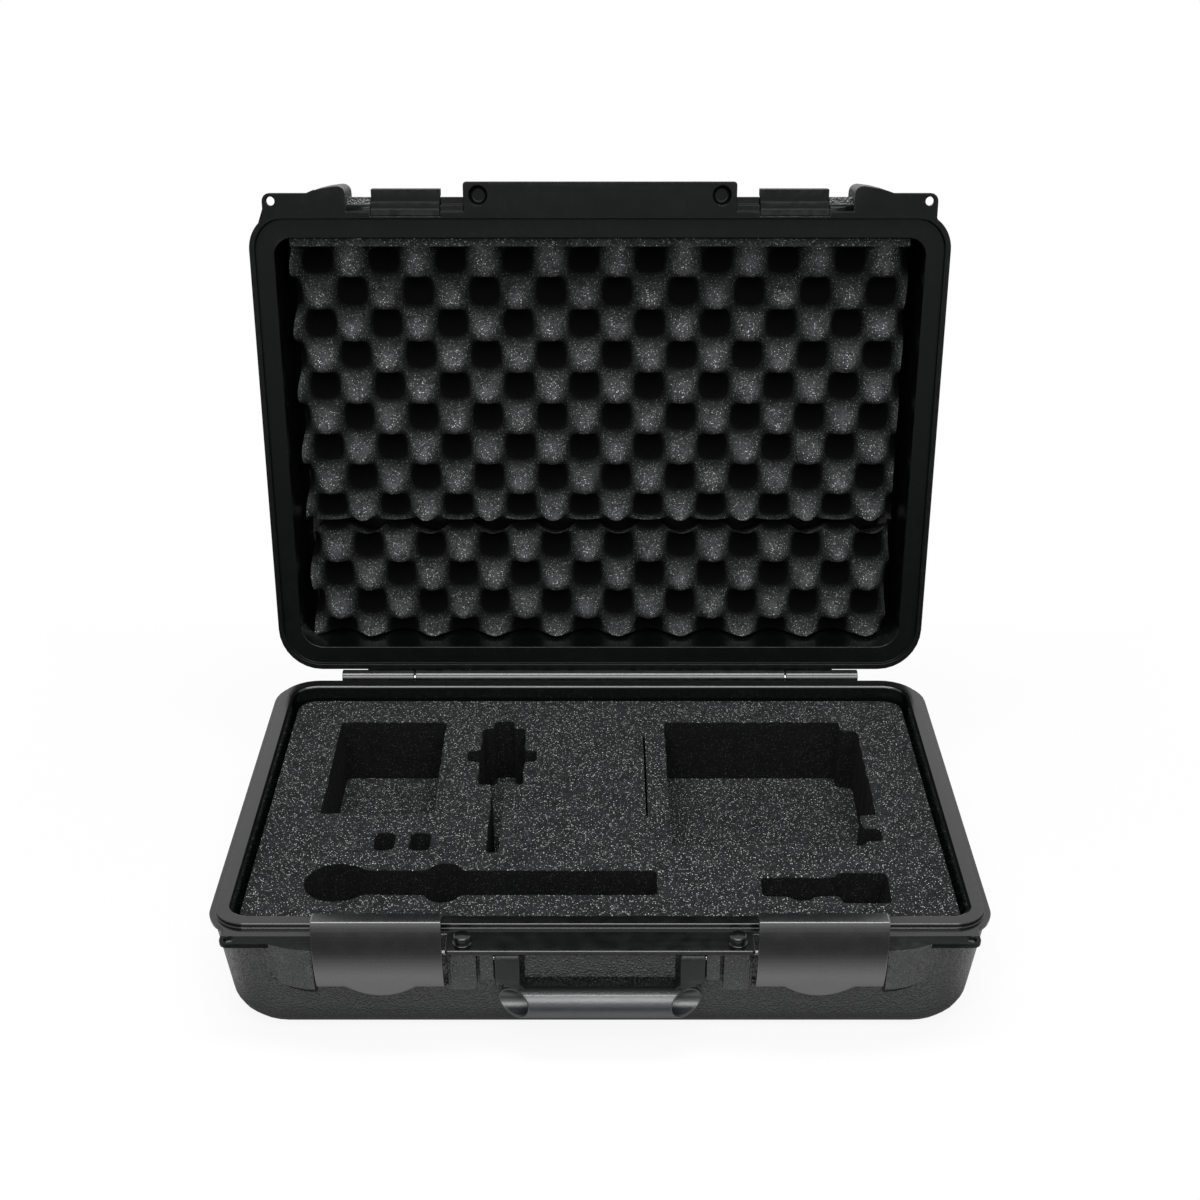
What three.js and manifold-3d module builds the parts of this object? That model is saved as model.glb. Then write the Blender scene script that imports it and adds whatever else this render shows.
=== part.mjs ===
// A hard equipment case: two double-walled moulded halves on a pinned hinge, held shut by two wide
// draw latches and carried by a bail handle, with a die-cut foam tray below and convoluted foam above.
// Millimetres, +Z up, +X to the right, +Y towards the hinge. The origin is the centre of the underside.
// The lid stands open, the latches stand upright and the handle hangs down.
import * as THREE from 'three';
import { mergeVertices } from 'three/addons/utils/BufferGeometryUtils.js';
import Module from 'manifold-3d';

const wasm = await Module();
wasm.setup();

// Overall sizes. The plan is measured from the middle of the underside, at x = 0 and y = 0.
const caseWidth = 500;
const caseDepth = 335;
const rimBack = 171.5;
const baseHeight = 80;
const lidHeight = 72;
const lidOpenAngle = 100;
const clearance = 0.3;
const partingGap = 0.2;
const overrun = 5;

// Walls. Both halves are double-walled, so the outside and the liner have their own sizes.
const floorThickness = 9;
const bodyInset = 2;
const wallProud = 11;
const wallDraftShare = 0.105;
const bodyCornerBack = 32;
const bodyCornerFront = 40;
const bottomRadius = 26;
const cornerShrinkShare = 0.6;
const panelRecess = 1.5;
const panelInset = 50;
const panelCorner = 18;

// Rim: the outer land, the raised tongue of the base and the recess of the lid that takes it.
const rimCornerBack = 32;
const rimCornerFront = 25;
const flangeThickness = 3;
const landWidth = 4.3;
const tongueWidth = 8;
const tongueHeight = 3.2;
const lidRimWidth = 15;
const rimEdgeRadius = 2;
const linerDraftShare = 0.012;
const linerFloorRadius = 9;
const lidFloorRadius = 6;
const linerCornerBack = 18;
const linerCornerFront = 14;

// Draw latches. Each lever turns on a link, and each link turns on a pin in the base.
// Proud is measured forwards from the front wall, setback is measured behind it.
const latchShare = 0.5512;
const latchWidth = 80.3;
const latchProud = 10.5;
const latchBulge = 4.6;
const latchTop = 23;
const latchBottom = -27;
const latchThickness = 2.6;
const lipLength = 11.8;
const lipFall = 1.4;
const lipThickness = 2.4;
const tabHalf = 22;
const tabDrop = 7;
const latchPinRadius = 1.5;
const basePinProud = 0.5;
const basePinDrop = 7.5;
const leverPinSetback = 3;
const linkLength = 14.5;
const linkRadius = 3.4;
const linkHalf = 27;
const leverRibThickness = 3;
const leverRibTop = -8;
const leverRibBottom = -25;
const pinBite = 6;

// Catches on the lid, which the latch lips pull on.
const catchHalf = 24.4;
const catchProud = 4.2;
const catchLipWidth = 5;
const catchStepSetback = 4.1;
const catchFootSetback = 8.5;
const catchBackSetback = 13;
const catchFootHeight = 3.5;
const catchStepHeight = 8;
const catchShoulder = 15;

// Latch bays, cut into the front wall of both halves, and the gaps beside each lever.
const bayGapOuter = 1.55;
const bayGapInner = 1.15;
const baySetback = 8.5;
const baseBayDepth = 36.5;
const lidBaySetback = 10.1;
const lidBayStepSetback = 5.8;
const lidBayDepth = 9;

// Flange outline in front of the rim: padlock ears, guards beside the latches and the handle ledge.
const earInset = 11.5;
const earProud = 2;
const earCorner = 5.5;
const padlockInset = 6.1;
const padlockSetback = 5.3;
const padlockRadius = 3;
const guardProud = 8.8;
const guardLength = 27.5;
const guardSpan = 38.5;
const guardDrop = 38;
const guardNoseShare = 0.8;
const lidGuardSetback = 2;
const lidGuardEndRadius = 5;
const ledgeProud = 9.5;
const ledgeCorner = 2;
const baseLedgeThickness = 3.2;
const lidLedgeThickness = 12;

// Rib pads, handle webs, centre panel and posts on the front of the base.
const padGap = 2.5;
const padWidth = 16.6;
const padProud = 7;
const padDrop = 32;
const padGrooveWidth = 2.2;
const padGrooveDepth = 5;
const webWidth = 10.8;
const webProud = 7.3;
const webStraight = 24;
const webFoot = 10;
const frontPanelProud = 3.7;
const frontPanelDrop = 24.5;
const postInset = 10.5;
const postProud = 0.5;
const postRadius = 5.5;
const postHeight = 6.5;
const postRingRadius = 6;
const postRingHeight = 0.9;
const postStemRadius = 3.4;
const postStemLength = 9;
const dimpleRadius = 6.5;
const dimpleDepth = 7.6;

// Handle: a hollow grip with slant-cut ends on two arms.
const armGap = 0.6;
const armWidth = 16;
const armBossRadius = 4.4;
const armFlare = 4;
const panelGap = 2.5;
const handlePinProud = 4.5;
const handlePinDrop = 8.2;
const handlePinRadius = 1.8;
const handlePinBite = 7.5;
const gripInset = 11;
const gripForward = 4;
const gripDrop = 32.5;
const gripRadius = 10.2;
const gripWall = 2.6;
const gripSlant = 9.7;
const gripSlantAngle = -13;

// Hinge: one long knuckle on the lid between two on the base, on one steel pin.
const hingeShare = 0.808;
const hingeSetback = 6.6;
const hingeRadius = 6;
const baseKnuckleLength = 56.3;
const knuckleGap = 1;
const hingePinRadius = 2.5;
const hingeWebThickness = 4.5;
const hingeWebGap = 0.4;
const hingeWebBite = 3.4;
const stopLugWidth = 30;
const stopLugInset = 19.7;
const stopLugDrop = 11;
const stopLugThickness = 3.8;

// Standing feet on the back wall of both halves.
const footShare = 0.74;
const footWidth = 60;
const footReach = 15;
const baseFootTop = 20;
const baseFootBottom = 66;
const lidFootTop = 58;
const footCorner = 6;

// Foam in the base: a flat pad under a die-cut tray.
const foamSideGap = 2.5;
const foamFrontGap = 1.1;
const foamBackGap = 2.5;
const foamCorner = 11.5;
const foamPadInset = 8;
const foamPadThickness = 12.4;
const trayDrop = 8;

// Foam in the lid: two convoluted sheets glued to the liner, butted at a seam.
const sheetSideGap = 7;
const sheetEndGap = 2;
const lowerSheetDepth = 90.5;
const seamGap = 0.6;
const sheetThickness = 37.7;
const sheetCornerCut = 10;
const sheetBackInset = 6;
const peakHeight = 22;
const peakPitchX = 49;
const peakPitchY = 45.4;
const peakOffsetX = 14;
const upperPeakInset = 15;
const lowerPeakInset = 9;
const peakShapeShare = 0.75;

// Fineness of the curves.
const cornerSteps = 8;
const filletSteps = 6;
const roundSteps = 24;
const smallRoundSteps = 16;

// Places that follow from the sizes above. Y values in front of the middle are negative.
const halfWidth = caseWidth / 2;
const rimFront = rimBack - caseDepth;
const wallFront = rimFront - wallProud;
const hingeLine = rimBack + hingeSetback;
const hingeHalf = halfWidth * hingeShare;
const lidKnuckleHalf = hingeHalf - baseKnuckleLength - knuckleGap;
const latchCentre = halfWidth * latchShare;
const guardInner = latchCentre + latchWidth / 2 + bayGapOuter;
const ledgeHalf = latchCentre - latchWidth / 2 - bayGapInner;
const ledgeFront = wallFront - ledgeProud;
const earHalf = halfWidth - earInset;
const earFront = wallFront - earProud;
const padOuter = ledgeHalf - padGap;
const padInner = padOuter - padWidth;
const armOuter = padInner - webWidth - armGap;
const armInner = armOuter - armWidth;
const frontPanelHalf = armInner - panelGap;
const gripHalf = armOuter - gripInset;
const postX = ledgeHalf - postInset;
const handlePinLine = wallFront - handlePinProud;
const latchFront = wallFront - latchProud;
const basePinLine = wallFront - basePinProud;
const leverPinLine = wallFront + leverPinSetback;
const leverPinDrop = basePinDrop + linkLength;
const RAD = Math.PI / 180;

const plastic = new THREE.MeshStandardMaterial({ color: 0x1b1c1d, roughness: 0.55, metalness: 0 });
const gloss = new THREE.MeshStandardMaterial({ color: 0x141516, roughness: 0.3, metalness: 0 });
const latchFinish = new THREE.MeshStandardMaterial({ color: 0x2e3033, roughness: 0.4, metalness: 0.2 });
const gripFinish = new THREE.MeshStandardMaterial({ color: 0x222426, roughness: 0.4, metalness: 0 });
const steel = new THREE.MeshStandardMaterial({ color: 0x9a9c9f, roughness: 0.3, metalness: 1 });
const foam = new THREE.MeshStandardMaterial({ color: 0x2b2d2e, roughness: 1, metalness: 0 });

// Solids. Each helper turns a three.js geometry into a closed solid that can be joined and cut.
function solidOf(geometry) {
  const bare = geometry.clone();
  bare.deleteAttribute('normal');
  bare.deleteAttribute('uv');
  const merged = mergeVertices(bare, 1e-4);
  const source = merged.getAttribute('position').array;
  const index = Uint32Array.from(merged.index.array);
  return new wasm.Manifold(new wasm.Mesh({
    numProp: 3,
    vertProperties: Float32Array.from(source),
    triVerts: facesOut(source, index),
  }));
}

// A closed mesh whose signed volume is negative is inside out, so its faces are turned over.
function facesOut(points, index) {
  let volume = 0;
  const a = new THREE.Vector3();
  const b = new THREE.Vector3();
  const c = new THREE.Vector3();
  for (let i = 0; i < index.length; i += 3) {
    a.fromArray(points, index[i] * 3);
    b.fromArray(points, index[i + 1] * 3);
    c.fromArray(points, index[i + 2] * 3);
    volume += a.dot(b.cross(c));
  }
  if (volume > 0) return index;
  return index.map((_, i) => index[i - (i % 3) + [0, 2, 1][i % 3]]);
}

function geometryOf(solid) {
  const mesh = solid.getMesh();
  const geometry = new THREE.BufferGeometry();
  const points = new Float32Array((mesh.vertProperties.length / mesh.numProp) * 3);
  for (let i = 0; i < points.length / 3; i += 1) {
    for (let k = 0; k < 3; k += 1) points[i * 3 + k] = mesh.vertProperties[i * mesh.numProp + k];
  }
  geometry.setAttribute('position', new THREE.BufferAttribute(points, 3));
  geometry.setIndex(new THREE.BufferAttribute(new Uint32Array(mesh.triVerts), 1));
  geometry.computeVertexNormals();
  return geometry;
}

function joined(solids) {
  return solids.reduce((sum, solid) => sum.add(solid));
}

function cutBy(solid, tools) {
  return tools.reduce((rest, tool) => rest.subtract(tool), solid);
}

function shapeFrom(points) {
  return new THREE.Shape(points.map(([x, y]) => new THREE.Vector2(x, y)));
}

function arc(cx, cy, radius, from, to, steps) {
  return Array.from({ length: steps + 1 }, (_, i) => {
    const angle = (from + ((to - from) * i) / steps) * RAD;
    return [cx + radius * Math.cos(angle), cy + radius * Math.sin(angle)];
  });
}

// A plan outline extruded upwards between two heights.
function plate(points, low, high) {
  const geometry = new THREE.ExtrudeGeometry(shapeFrom(points), { depth: high - low, bevelEnabled: false });
  geometry.translate(0, 0, low);
  return solidOf(geometry);
}

// A side outline, given as [y, z] points, extruded across the width between two x values.
function acrossX(points, left, right) {
  const geometry = new THREE.ExtrudeGeometry(shapeFrom(points), { depth: right - left, bevelEnabled: false });
  geometry.applyMatrix4(new THREE.Matrix4().set(0, 0, 1, left, 1, 0, 0, 0, 0, 1, 0, 0, 0, 0, 0, 1));
  return solidOf(geometry);
}

// A front outline, given as [x, z] points, extruded from front to back.
function alongY(points, front, back) {
  const geometry = new THREE.ExtrudeGeometry(shapeFrom(points), { depth: back - front, bevelEnabled: false });
  geometry.applyMatrix4(new THREE.Matrix4().set(1, 0, 0, 0, 0, 0, -1, back, 0, 1, 0, 0, 0, 0, 0, 1));
  return solidOf(geometry);
}

function block(x0, x1, y0, y1, z0, z1) {
  const geometry = new THREE.BoxGeometry(x1 - x0, y1 - y0, z1 - z0);
  geometry.translate((x0 + x1) / 2, (y0 + y1) / 2, (z0 + z1) / 2);
  return solidOf(geometry);
}

function rodX(x0, x1, y, z, radius, steps = roundSteps) {
  const geometry = new THREE.CylinderGeometry(radius, radius, x1 - x0, steps);
  geometry.rotateZ(Math.PI / 2);
  geometry.translate((x0 + x1) / 2, y, z);
  return solidOf(geometry);
}

function rodZ(x, y, z0, z1, radius, steps = roundSteps) {
  const geometry = new THREE.CylinderGeometry(radius, radius, z1 - z0, steps);
  geometry.rotateX(Math.PI / 2);
  geometry.translate(x, y, (z0 + z1) / 2);
  return solidOf(geometry);
}

// A skin over rings that all have the same number of points. Open lofts are closed by flat ends;
// looped lofts run from the last ring back to the first, as a tube wall does.
function loft(rings, looped = false) {
  const count = rings[0].length;
  const points = rings.flat();
  const index = [];
  const bands = looped ? rings.length : rings.length - 1;
  for (let r = 0; r < bands; r += 1) {
    const next = (r + 1) % rings.length;
    for (let i = 0; i < count; i += 1) {
      const j = (i + 1) % count;
      index.push(r * count + i, r * count + j, next * count + j);
      index.push(r * count + i, next * count + j, next * count + i);
    }
  }
  const last = (rings.length - 1) * count;
  for (let i = 1; i < count - 1 && !looped; i += 1) {
    index.push(0, i + 1, i);
    index.push(last, last + i, last + i + 1);
  }
  const geometry = new THREE.BufferGeometry();
  geometry.setAttribute('position', new THREE.Float32BufferAttribute(points.flat(), 3));
  geometry.setIndex(index);
  return solidOf(geometry);
}

// A level ring: a rectangle with rounded corners, larger at the back than at the front.
function ring(half, front, back, cornerFront, cornerBack, z) {
  return [
    ...arc(half - cornerFront, front + cornerFront, cornerFront, -90, 0, cornerSteps),
    ...arc(half - cornerBack, back - cornerBack, cornerBack, 0, 90, cornerSteps),
    ...arc(cornerBack - half, back - cornerBack, cornerBack, 90, 180, cornerSteps),
    ...arc(cornerFront - half, front + cornerFront, cornerFront, 180, 270, cornerSteps),
  ].map(([x, y]) => [x, y, z]);
}

function bothSides(make) {
  return [make(1), make(-1)];
}

// Calls make with the two x values in rising order, for a span that lies on the right or the left side.
function spanX(side, near, far, make) {
  return make(Math.min(side * near, side * far), Math.max(side * near, side * far));
}

function mirrorX(points, side) {
  return points.map(([x, y]) => [x * side, y]);
}

// The outside of one half as a drafted tub with rounded lower edges. Depth is counted from the parting
// plane, and away is -1 for the base, which goes down from it, and 1 for the lid.
function tub(depth, partingZ, away) {
  const level = (down, inset) => ring(
    halfWidth - bodyInset - inset,
    wallFront + inset,
    rimBack - bodyInset - inset,
    bodyCornerFront - inset * cornerShrinkShare,
    bodyCornerBack - inset * cornerShrinkShare,
    partingZ + away * down,
  );
  const straight = depth - bottomRadius;
  const rings = [level(0, 0), level(straight, straight * wallDraftShare)];
  for (let i = 1; i <= filletSteps; i += 1) {
    const angle = (i / filletSteps) * 90 * RAD;
    const inset = straight * wallDraftShare + bottomRadius * (1 - Math.cos(angle));
    rings.push(level(straight + bottomRadius * Math.sin(angle), inset));
  }
  return loft(rings);
}

// The space inside the liner. The mouth has a soft edge, and the floor meets the walls in a radius.
function hollow(depth, rimWidth, mouthRise, floorRadius, partingZ, away) {
  const level = (down, inset) => ring(
    halfWidth - rimWidth - inset,
    rimFront + rimWidth + inset,
    rimBack - rimWidth - inset,
    linerCornerFront - inset * cornerShrinkShare,
    linerCornerBack - inset * cornerShrinkShare,
    partingZ + away * down,
  );
  const rings = [level(-mouthRise - overrun, 0), level(-mouthRise, 0)];
  for (let i = 1; i <= filletSteps / 2; i += 1) {
    const angle = (i / (filletSteps / 2)) * 90 * RAD;
    rings.push(level(-mouthRise + rimEdgeRadius * (1 - Math.cos(angle)), rimEdgeRadius * Math.sin(angle)));
  }
  const straight = depth - floorRadius;
  const wallInset = rimEdgeRadius + straight * linerDraftShare;
  rings.push(level(straight, wallInset));
  for (let i = 1; i <= filletSteps / 2; i += 1) {
    const angle = (i / (filletSteps / 2)) * 90 * RAD;
    const inset = wallInset + floorRadius * (1 - Math.cos(angle));
    rings.push(level(straight + floorRadius * Math.sin(angle), inset));
  }
  return loft(rings);
}

// The front edge of a guard as the flange shows it: full beside the latch and falling to the ear.
function guardCurve({ reach = 1, setback = 0, endRadius = 0 }) {
  const start = endRadius / guardLength;
  const curve = Array.from({ length: filletSteps + 1 }, (_, i) => {
    const t = start + ((reach - start) * i) / filletSteps;
    return [guardInner + guardLength * t, earFront - (guardProud - earProud - setback) * (1 - t * t)];
  });
  if (!endRadius) return curve;
  const end = arc(guardInner + endRadius, curve[0][1] + endRadius, endRadius, 180, 270, 4);
  return [...end.slice(0, -1), ...curve];
}

// The outline of the flange at the parting plane, right half first and then its mirror image.
function flangeOutline(bayFloor, guardShape) {
  const earRise = rimFront + rimCornerFront
    - Math.sqrt(rimCornerFront ** 2 - (earHalf - halfWidth + rimCornerFront) ** 2);
  const earJoin = Math.acos((earHalf - halfWidth + rimCornerFront) / rimCornerFront) / RAD;
  const right = [
    ...arc(ledgeHalf - ledgeCorner, ledgeFront + ledgeCorner, ledgeCorner, -90, 0, 2),
    [ledgeHalf, bayFloor],
    [guardInner, bayFloor],
    ...guardCurve(guardShape),
    ...arc(earHalf - earCorner, earFront + earCorner, earCorner, -90, 0, 4),
    [earHalf, earRise],
    ...arc(
      halfWidth - rimCornerFront, rimFront + rimCornerFront, rimCornerFront, -earJoin, 0, cornerSteps,
    ).slice(1),
    ...arc(halfWidth - rimCornerBack, rimBack - rimCornerBack, rimCornerBack, 0, 90, cornerSteps),
  ];
  return [...right, ...mirrorX([...right].reverse(), -1)];
}

// One guard: a quarter dome beside a latch bay, cut to the curve that the flange has in plan.
function guard(side, partingZ, away, shape) {
  const stations = [
    [rimFront, 1],
    [wallFront, 1],
    [wallFront - guardProud * 0.55, 0.93],
    [wallFront - guardProud, guardNoseShare],
  ];
  const dome = loft(stations.map(([y, share]) => {
    const quarter = arc(0, 0, 1, 0, 90, cornerSteps).map(([u, v]) => [
      side * (guardInner + guardSpan * share * u),
      y,
      partingZ + away * guardDrop * share * v,
    ]);
    return [[side * guardInner, y, partingZ], ...quarter];
  }));
  const reach = Math.sqrt(1 + (rimFront - earFront) / (guardProud - earProud - shape.setback));
  const curve = guardCurve({ ...shape, reach });
  const plan = [[side * guardInner, rimFront], ...curve.map(([x, y]) => [side * x, y])];
  return dome.intersect(plate(plan, partingZ - guardDrop, partingZ + guardDrop));
}

// A standing foot on the back wall, between two distances from the parting plane.
function foot(side, near, far, partingZ, away) {
  const back = hingeLine + footReach - hingeSetback;
  const wall = rimBack - hingeSetback - overrun;
  const outline = [
    [wall, partingZ + away * near],
    [back - footCorner, partingZ + away * near],
    [back, partingZ + away * (near + footCorner)],
    [back, partingZ + away * (far - footCorner)],
    [back - footCorner, partingZ + away * far],
    [wall - footReach, partingZ + away * far],
  ];
  const outer = halfWidth * footShare;
  return spanX(side, outer - footWidth, outer, (x0, x1) => acrossX(outline, x0, x1));
}

// A hinge knuckle with the web that ties it to its half. The web lies on the half's own side of the plane.
function knuckle(left, right, partingZ, away) {
  const webFar = partingZ + away * (hingeWebThickness + hingeWebGap);
  const webNear = partingZ + away * hingeWebGap;
  const web = block(
    left, right, rimBack - hingeWebBite, hingeLine,
    Math.min(webNear, webFar), Math.max(webNear, webFar),
  );
  const barrel = rodX(left, right, hingeLine, partingZ, hingeRadius);
  return cutBy(joined([web, barrel]), [hingeBore(left, right, partingZ)]);
}

function hingeBore(left, right, partingZ) {
  return rodX(left - overrun, right + overrun, hingeLine, partingZ, hingePinRadius + clearance, smallRoundSteps);
}

// What both halves share: tub, flange, guards and feet, less the liner space and the padlock holes.
function half(options) {
  const { depth, partingZ, away, bayFloor, guardShape } = options;
  const { rimWidth, mouthRise, floorRadius, footNear, footFar } = options;
  const flangeLow = away > 0 ? partingZ : partingZ - flangeThickness;
  const lumps = joined([
    tub(depth, partingZ, away),
    plate(flangeOutline(bayFloor, guardShape), flangeLow, flangeLow + flangeThickness),
    ...bothSides((side) => guard(side, partingZ, away, guardShape)),
    ...bothSides((side) => foot(side, footNear, footFar, partingZ, away)),
  ]);
  return cutBy(lumps, [
    hollow(depth - floorThickness, rimWidth, mouthRise, floorRadius, partingZ, away),
    ...bothSides((side) => rodZ(
      side * (earHalf - padlockInset), earFront + padlockSetback, partingZ - bottomRadius, partingZ + bottomRadius,
      padlockRadius, smallRoundSteps,
    )),
  ]);
}

function bayCut(side, setback, low, high) {
  return spanX(side, ledgeHalf, guardInner, (x0, x1) => block(
    x0, x1, ledgeFront - overrun, wallFront + setback, low, high,
  ));
}

// Base half: the shared form with the tongue, handle ledge, ribs, front panel and outer hinge knuckles.
function baseShell() {
  const top = baseHeight;
  const form = half({
    depth: baseHeight, partingZ: top, away: -1, bayFloor: wallFront + baySetback,
    guardShape: { setback: 0, endRadius: 0 }, rimWidth: landWidth + tongueWidth,
    mouthRise: tongueHeight, floorRadius: linerFloorRadius, footNear: baseFootTop, footFar: baseFootBottom,
  });
  const tongue = plate(
    ring(
      halfWidth - landWidth, rimFront + landWidth, rimBack - landWidth,
      rimCornerFront - landWidth, rimCornerBack - landWidth, 0,
    ).map(([x, y]) => [x, y]),
    top - flangeThickness, top + tongueHeight,
  );
  const space = hollow(
    baseHeight - floorThickness, landWidth + tongueWidth, tongueHeight, linerFloorRadius, top, -1,
  );
  const lumps = [
    form,
    cutBy(tongue, [space]),
    block(-ledgeHalf + ledgeCorner, ledgeHalf - ledgeCorner, ledgeFront + ledgeCorner, rimFront,
      top - baseLedgeThickness, top),
    block(-frontPanelHalf, frontPanelHalf, wallFront - frontPanelProud, rimFront, top - frontPanelDrop, top),
    ...bothSides((side) => pad(side, top)),
    ...bothSides((side) => handleWeb(side, top)),
    knuckle(lidKnuckleHalf + knuckleGap, hingeHalf, top, -1),
    knuckle(-hingeHalf, -lidKnuckleHalf - knuckleGap, top, -1),
  ];
  const cuts = [
    ...bothSides((side) => bayCut(side, baySetback, top - baseBayDepth, top + overrun)),
    ...bothSides((side) => padGroove(side, top)),
    ...bothSides((side) => rodZ(
      side * postX, wallFront - postProud, top - postStemLength - clearance, top + overrun,
      postStemRadius + clearance, smallRoundSteps,
    )),
    ...bothSides((side) => latchPinHole(side, top)),
    ...bothSides((side) => spanX(side, armOuter - clearance, armOuter + handlePinBite + clearance, (x0, x1) => rodX(
      x0, x1, handlePinLine, top - handlePinDrop, handlePinRadius + clearance, smallRoundSteps,
    ))),
  ];
  return cutBy(joined(lumps), cuts);
}

// The web that holds a handle pin: flush with the ribs above and running out into the wall below.
function handleWeb(side, top) {
  const outline = [
    [rimFront, top],
    [wallFront - webProud, top],
    [wallFront - webProud, top - webStraight],
    [rimFront, top - webStraight - webFoot],
  ];
  return spanX(side, armOuter + armGap, padInner, (x0, x1) => acrossX(outline, x0, x1));
}

// A rib pad below the ledge, rounded at its lower corners.
function pad(side, top) {
  const radius = padOuter - padInner - (padOuter - padInner) * 0.8;
  const outline = mirrorX([
    [padInner, top],
    ...arc(padInner + radius, top - padDrop + radius, radius, 180, 270, 3),
    ...arc(padOuter - radius, top - padDrop + radius, radius, 270, 360, 3),
    [padOuter, top],
  ], side);
  return alongY(outline, wallFront - padProud, rimFront);
}

function padGroove(side, top) {
  return spanX(side, padInner - padGrooveWidth, padInner, (x0, x1) => block(
    x0, x1, wallFront - padProud - overrun, wallFront - padProud + padGrooveDepth,
    top - padDrop - padGrooveWidth, top - baseLedgeThickness - padGrooveWidth,
  ));
}

function latchPinHole(side, top) {
  const reach = latchWidth / 2 + pinBite + clearance;
  return spanX(side, latchCentre - reach, latchCentre + reach, (x0, x1) => rodX(
    x0, x1, basePinLine, top - basePinDrop, latchPinRadius + clearance, smallRoundSteps,
  ));
}

// Lid half, drawn closed over a parting plane at z = 0.
function lidShell() {
  const low = partingGap;
  const form = half({
    depth: lidHeight, partingZ: low, away: 1, bayFloor: wallFront + lidBaySetback,
    guardShape: { setback: lidGuardSetback, endRadius: lidGuardEndRadius }, rimWidth: lidRimWidth,
    mouthRise: 0, floorRadius: lidFloorRadius, footNear: baseFootTop + 2 * clearance, footFar: lidFootTop,
  });
  const recessInset = landWidth - clearance;
  const recess = plate(
    ring(
      halfWidth - recessInset, rimFront + recessInset, rimBack - recessInset,
      rimCornerFront - recessInset, rimCornerBack - recessInset, 0,
    ).map(([x, y]) => [x, y]),
    low - overrun, low + tongueHeight + clearance,
  );
  const panel = ring(
    halfWidth - panelInset, rimFront + panelInset, rimBack - panelInset, panelCorner, panelCorner, 0,
  ).map(([x, y]) => [x, y]);
  const lumps = [
    cutBy(form, [recess]),
    block(-ledgeHalf + ledgeCorner, ledgeHalf - ledgeCorner, ledgeFront + ledgeCorner, rimFront,
      low, low + lidLedgeThickness),
    knuckle(-lidKnuckleHalf, lidKnuckleHalf, low, 1),
    ...bothSides((side) => stopLug(side, low)),
  ];
  const cuts = [
    ...bothSides((side) => bayCut(side, lidBaySetback, low - overrun, low + flangeThickness)),
    ...bothSides((side) => bayCut(side, lidBayStepSetback, low - overrun, low + lidBayDepth)),
    ...bothSides((side) => catchPocket(side, low)),
    ...bothSides((side) => dimple(side, low)),
    plate(panel, low + lidHeight - panelRecess, low + lidHeight + overrun),
    hingeBore(-lidKnuckleHalf, lidKnuckleHalf, low),
  ];
  return cutBy(joined(lumps), cuts);
}

// A stop lug meets the back edge of the base when the lid is fully open. It is drawn in that pose,
// with y and z counted from the hinge axis, and turned back to the closed pose.
function stopLug(side, low) {
  const face = -hingeSetback + clearance;
  const opened = [
    [face, -hingePinRadius],
    [face, -stopLugDrop],
    [face + stopLugThickness, -stopLugDrop],
    [face + stopLugThickness + hingeRadius - hingePinRadius, -hingeRadius / 2],
    [0, 0 - hingePinRadius - clearance * 2],
  ];
  const turn = lidOpenAngle * RAD;
  const closed = opened.map(([y, z]) => [
    hingeLine + y * Math.cos(turn) - z * Math.sin(turn),
    low + y * Math.sin(turn) + z * Math.cos(turn),
  ]);
  const outer = lidKnuckleHalf - stopLugInset;
  return spanX(side, outer - stopLugWidth, outer, (x0, x1) => acrossX(closed, x0, x1));
}

function catchPocket(side, low) {
  return block(
    side * latchCentre - catchHalf - clearance, side * latchCentre + catchHalf + clearance,
    ledgeFront - overrun, wallFront + catchBackSetback + clearance, low - overrun, low + catchShoulder + clearance,
  );
}

// A round dish in the lid ledge that takes the top of a post.
function dimple(side, low) {
  const profile = [
    [0, dimpleDepth],
    [dimpleRadius * 0.7, dimpleDepth],
    [dimpleRadius * 0.93, dimpleDepth * 0.85],
    [dimpleRadius, 0],
    [dimpleRadius, -overrun],
    [0, -overrun],
  ];
  const geometry = new THREE.LatheGeometry(profile.map(([r, y]) => new THREE.Vector2(r, y)), roundSteps);
  geometry.rotateX(Math.PI / 2);
  geometry.translate(side * postX, wallFront - postProud, low);
  return solidOf(geometry);
}

// Catch: a stepped strip let into the lid, with an upstand that the latch lip closes over.
function catchStrip(side) {
  const lipUnder = (y) => latchTop - lipThickness - clearance - (lipFall * (y - latchFront)) / lipLength;
  const front = wallFront - catchProud;
  const outline = [
    [wallFront + catchBackSetback, clearance],
    [wallFront + catchFootSetback, clearance],
    [wallFront + catchFootSetback, catchFootHeight],
    [wallFront + catchStepSetback, catchFootHeight],
    [wallFront + catchStepSetback, catchStepHeight],
    [front, catchStepHeight],
    [front, lipUnder(front)],
    [front + catchLipWidth, lipUnder(front + catchLipWidth)],
    [front + catchLipWidth, catchShoulder],
    [wallFront + catchBackSetback, catchShoulder],
  ];
  return acrossX(outline, side * latchCentre - catchHalf, side * latchCentre + catchHalf);
}

// Post: a turned stud with a ring at its foot and a domed top, pressed into the ledge.
function post(side) {
  const dome = arc(0, 0, 1, 90, 0, 4).map(([u, v]) => [
    postRadius * u, postHeight - postRadius * 0.35 + postRadius * 0.35 * v,
  ]).reverse();
  const profile = [
    [0, -postStemLength],
    [postStemRadius, -postStemLength],
    [postStemRadius, clearance],
    [postRingRadius, clearance],
    [postRingRadius, postRingHeight],
    [postRadius, postRingHeight + clearance],
    ...dome,
  ];
  const geometry = new THREE.LatheGeometry(profile.map(([r, y]) => new THREE.Vector2(r, y)), roundSteps);
  geometry.rotateX(Math.PI / 2);
  geometry.translate(side * postX, wallFront - postProud, baseHeight);
  return solidOf(geometry);
}

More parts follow.
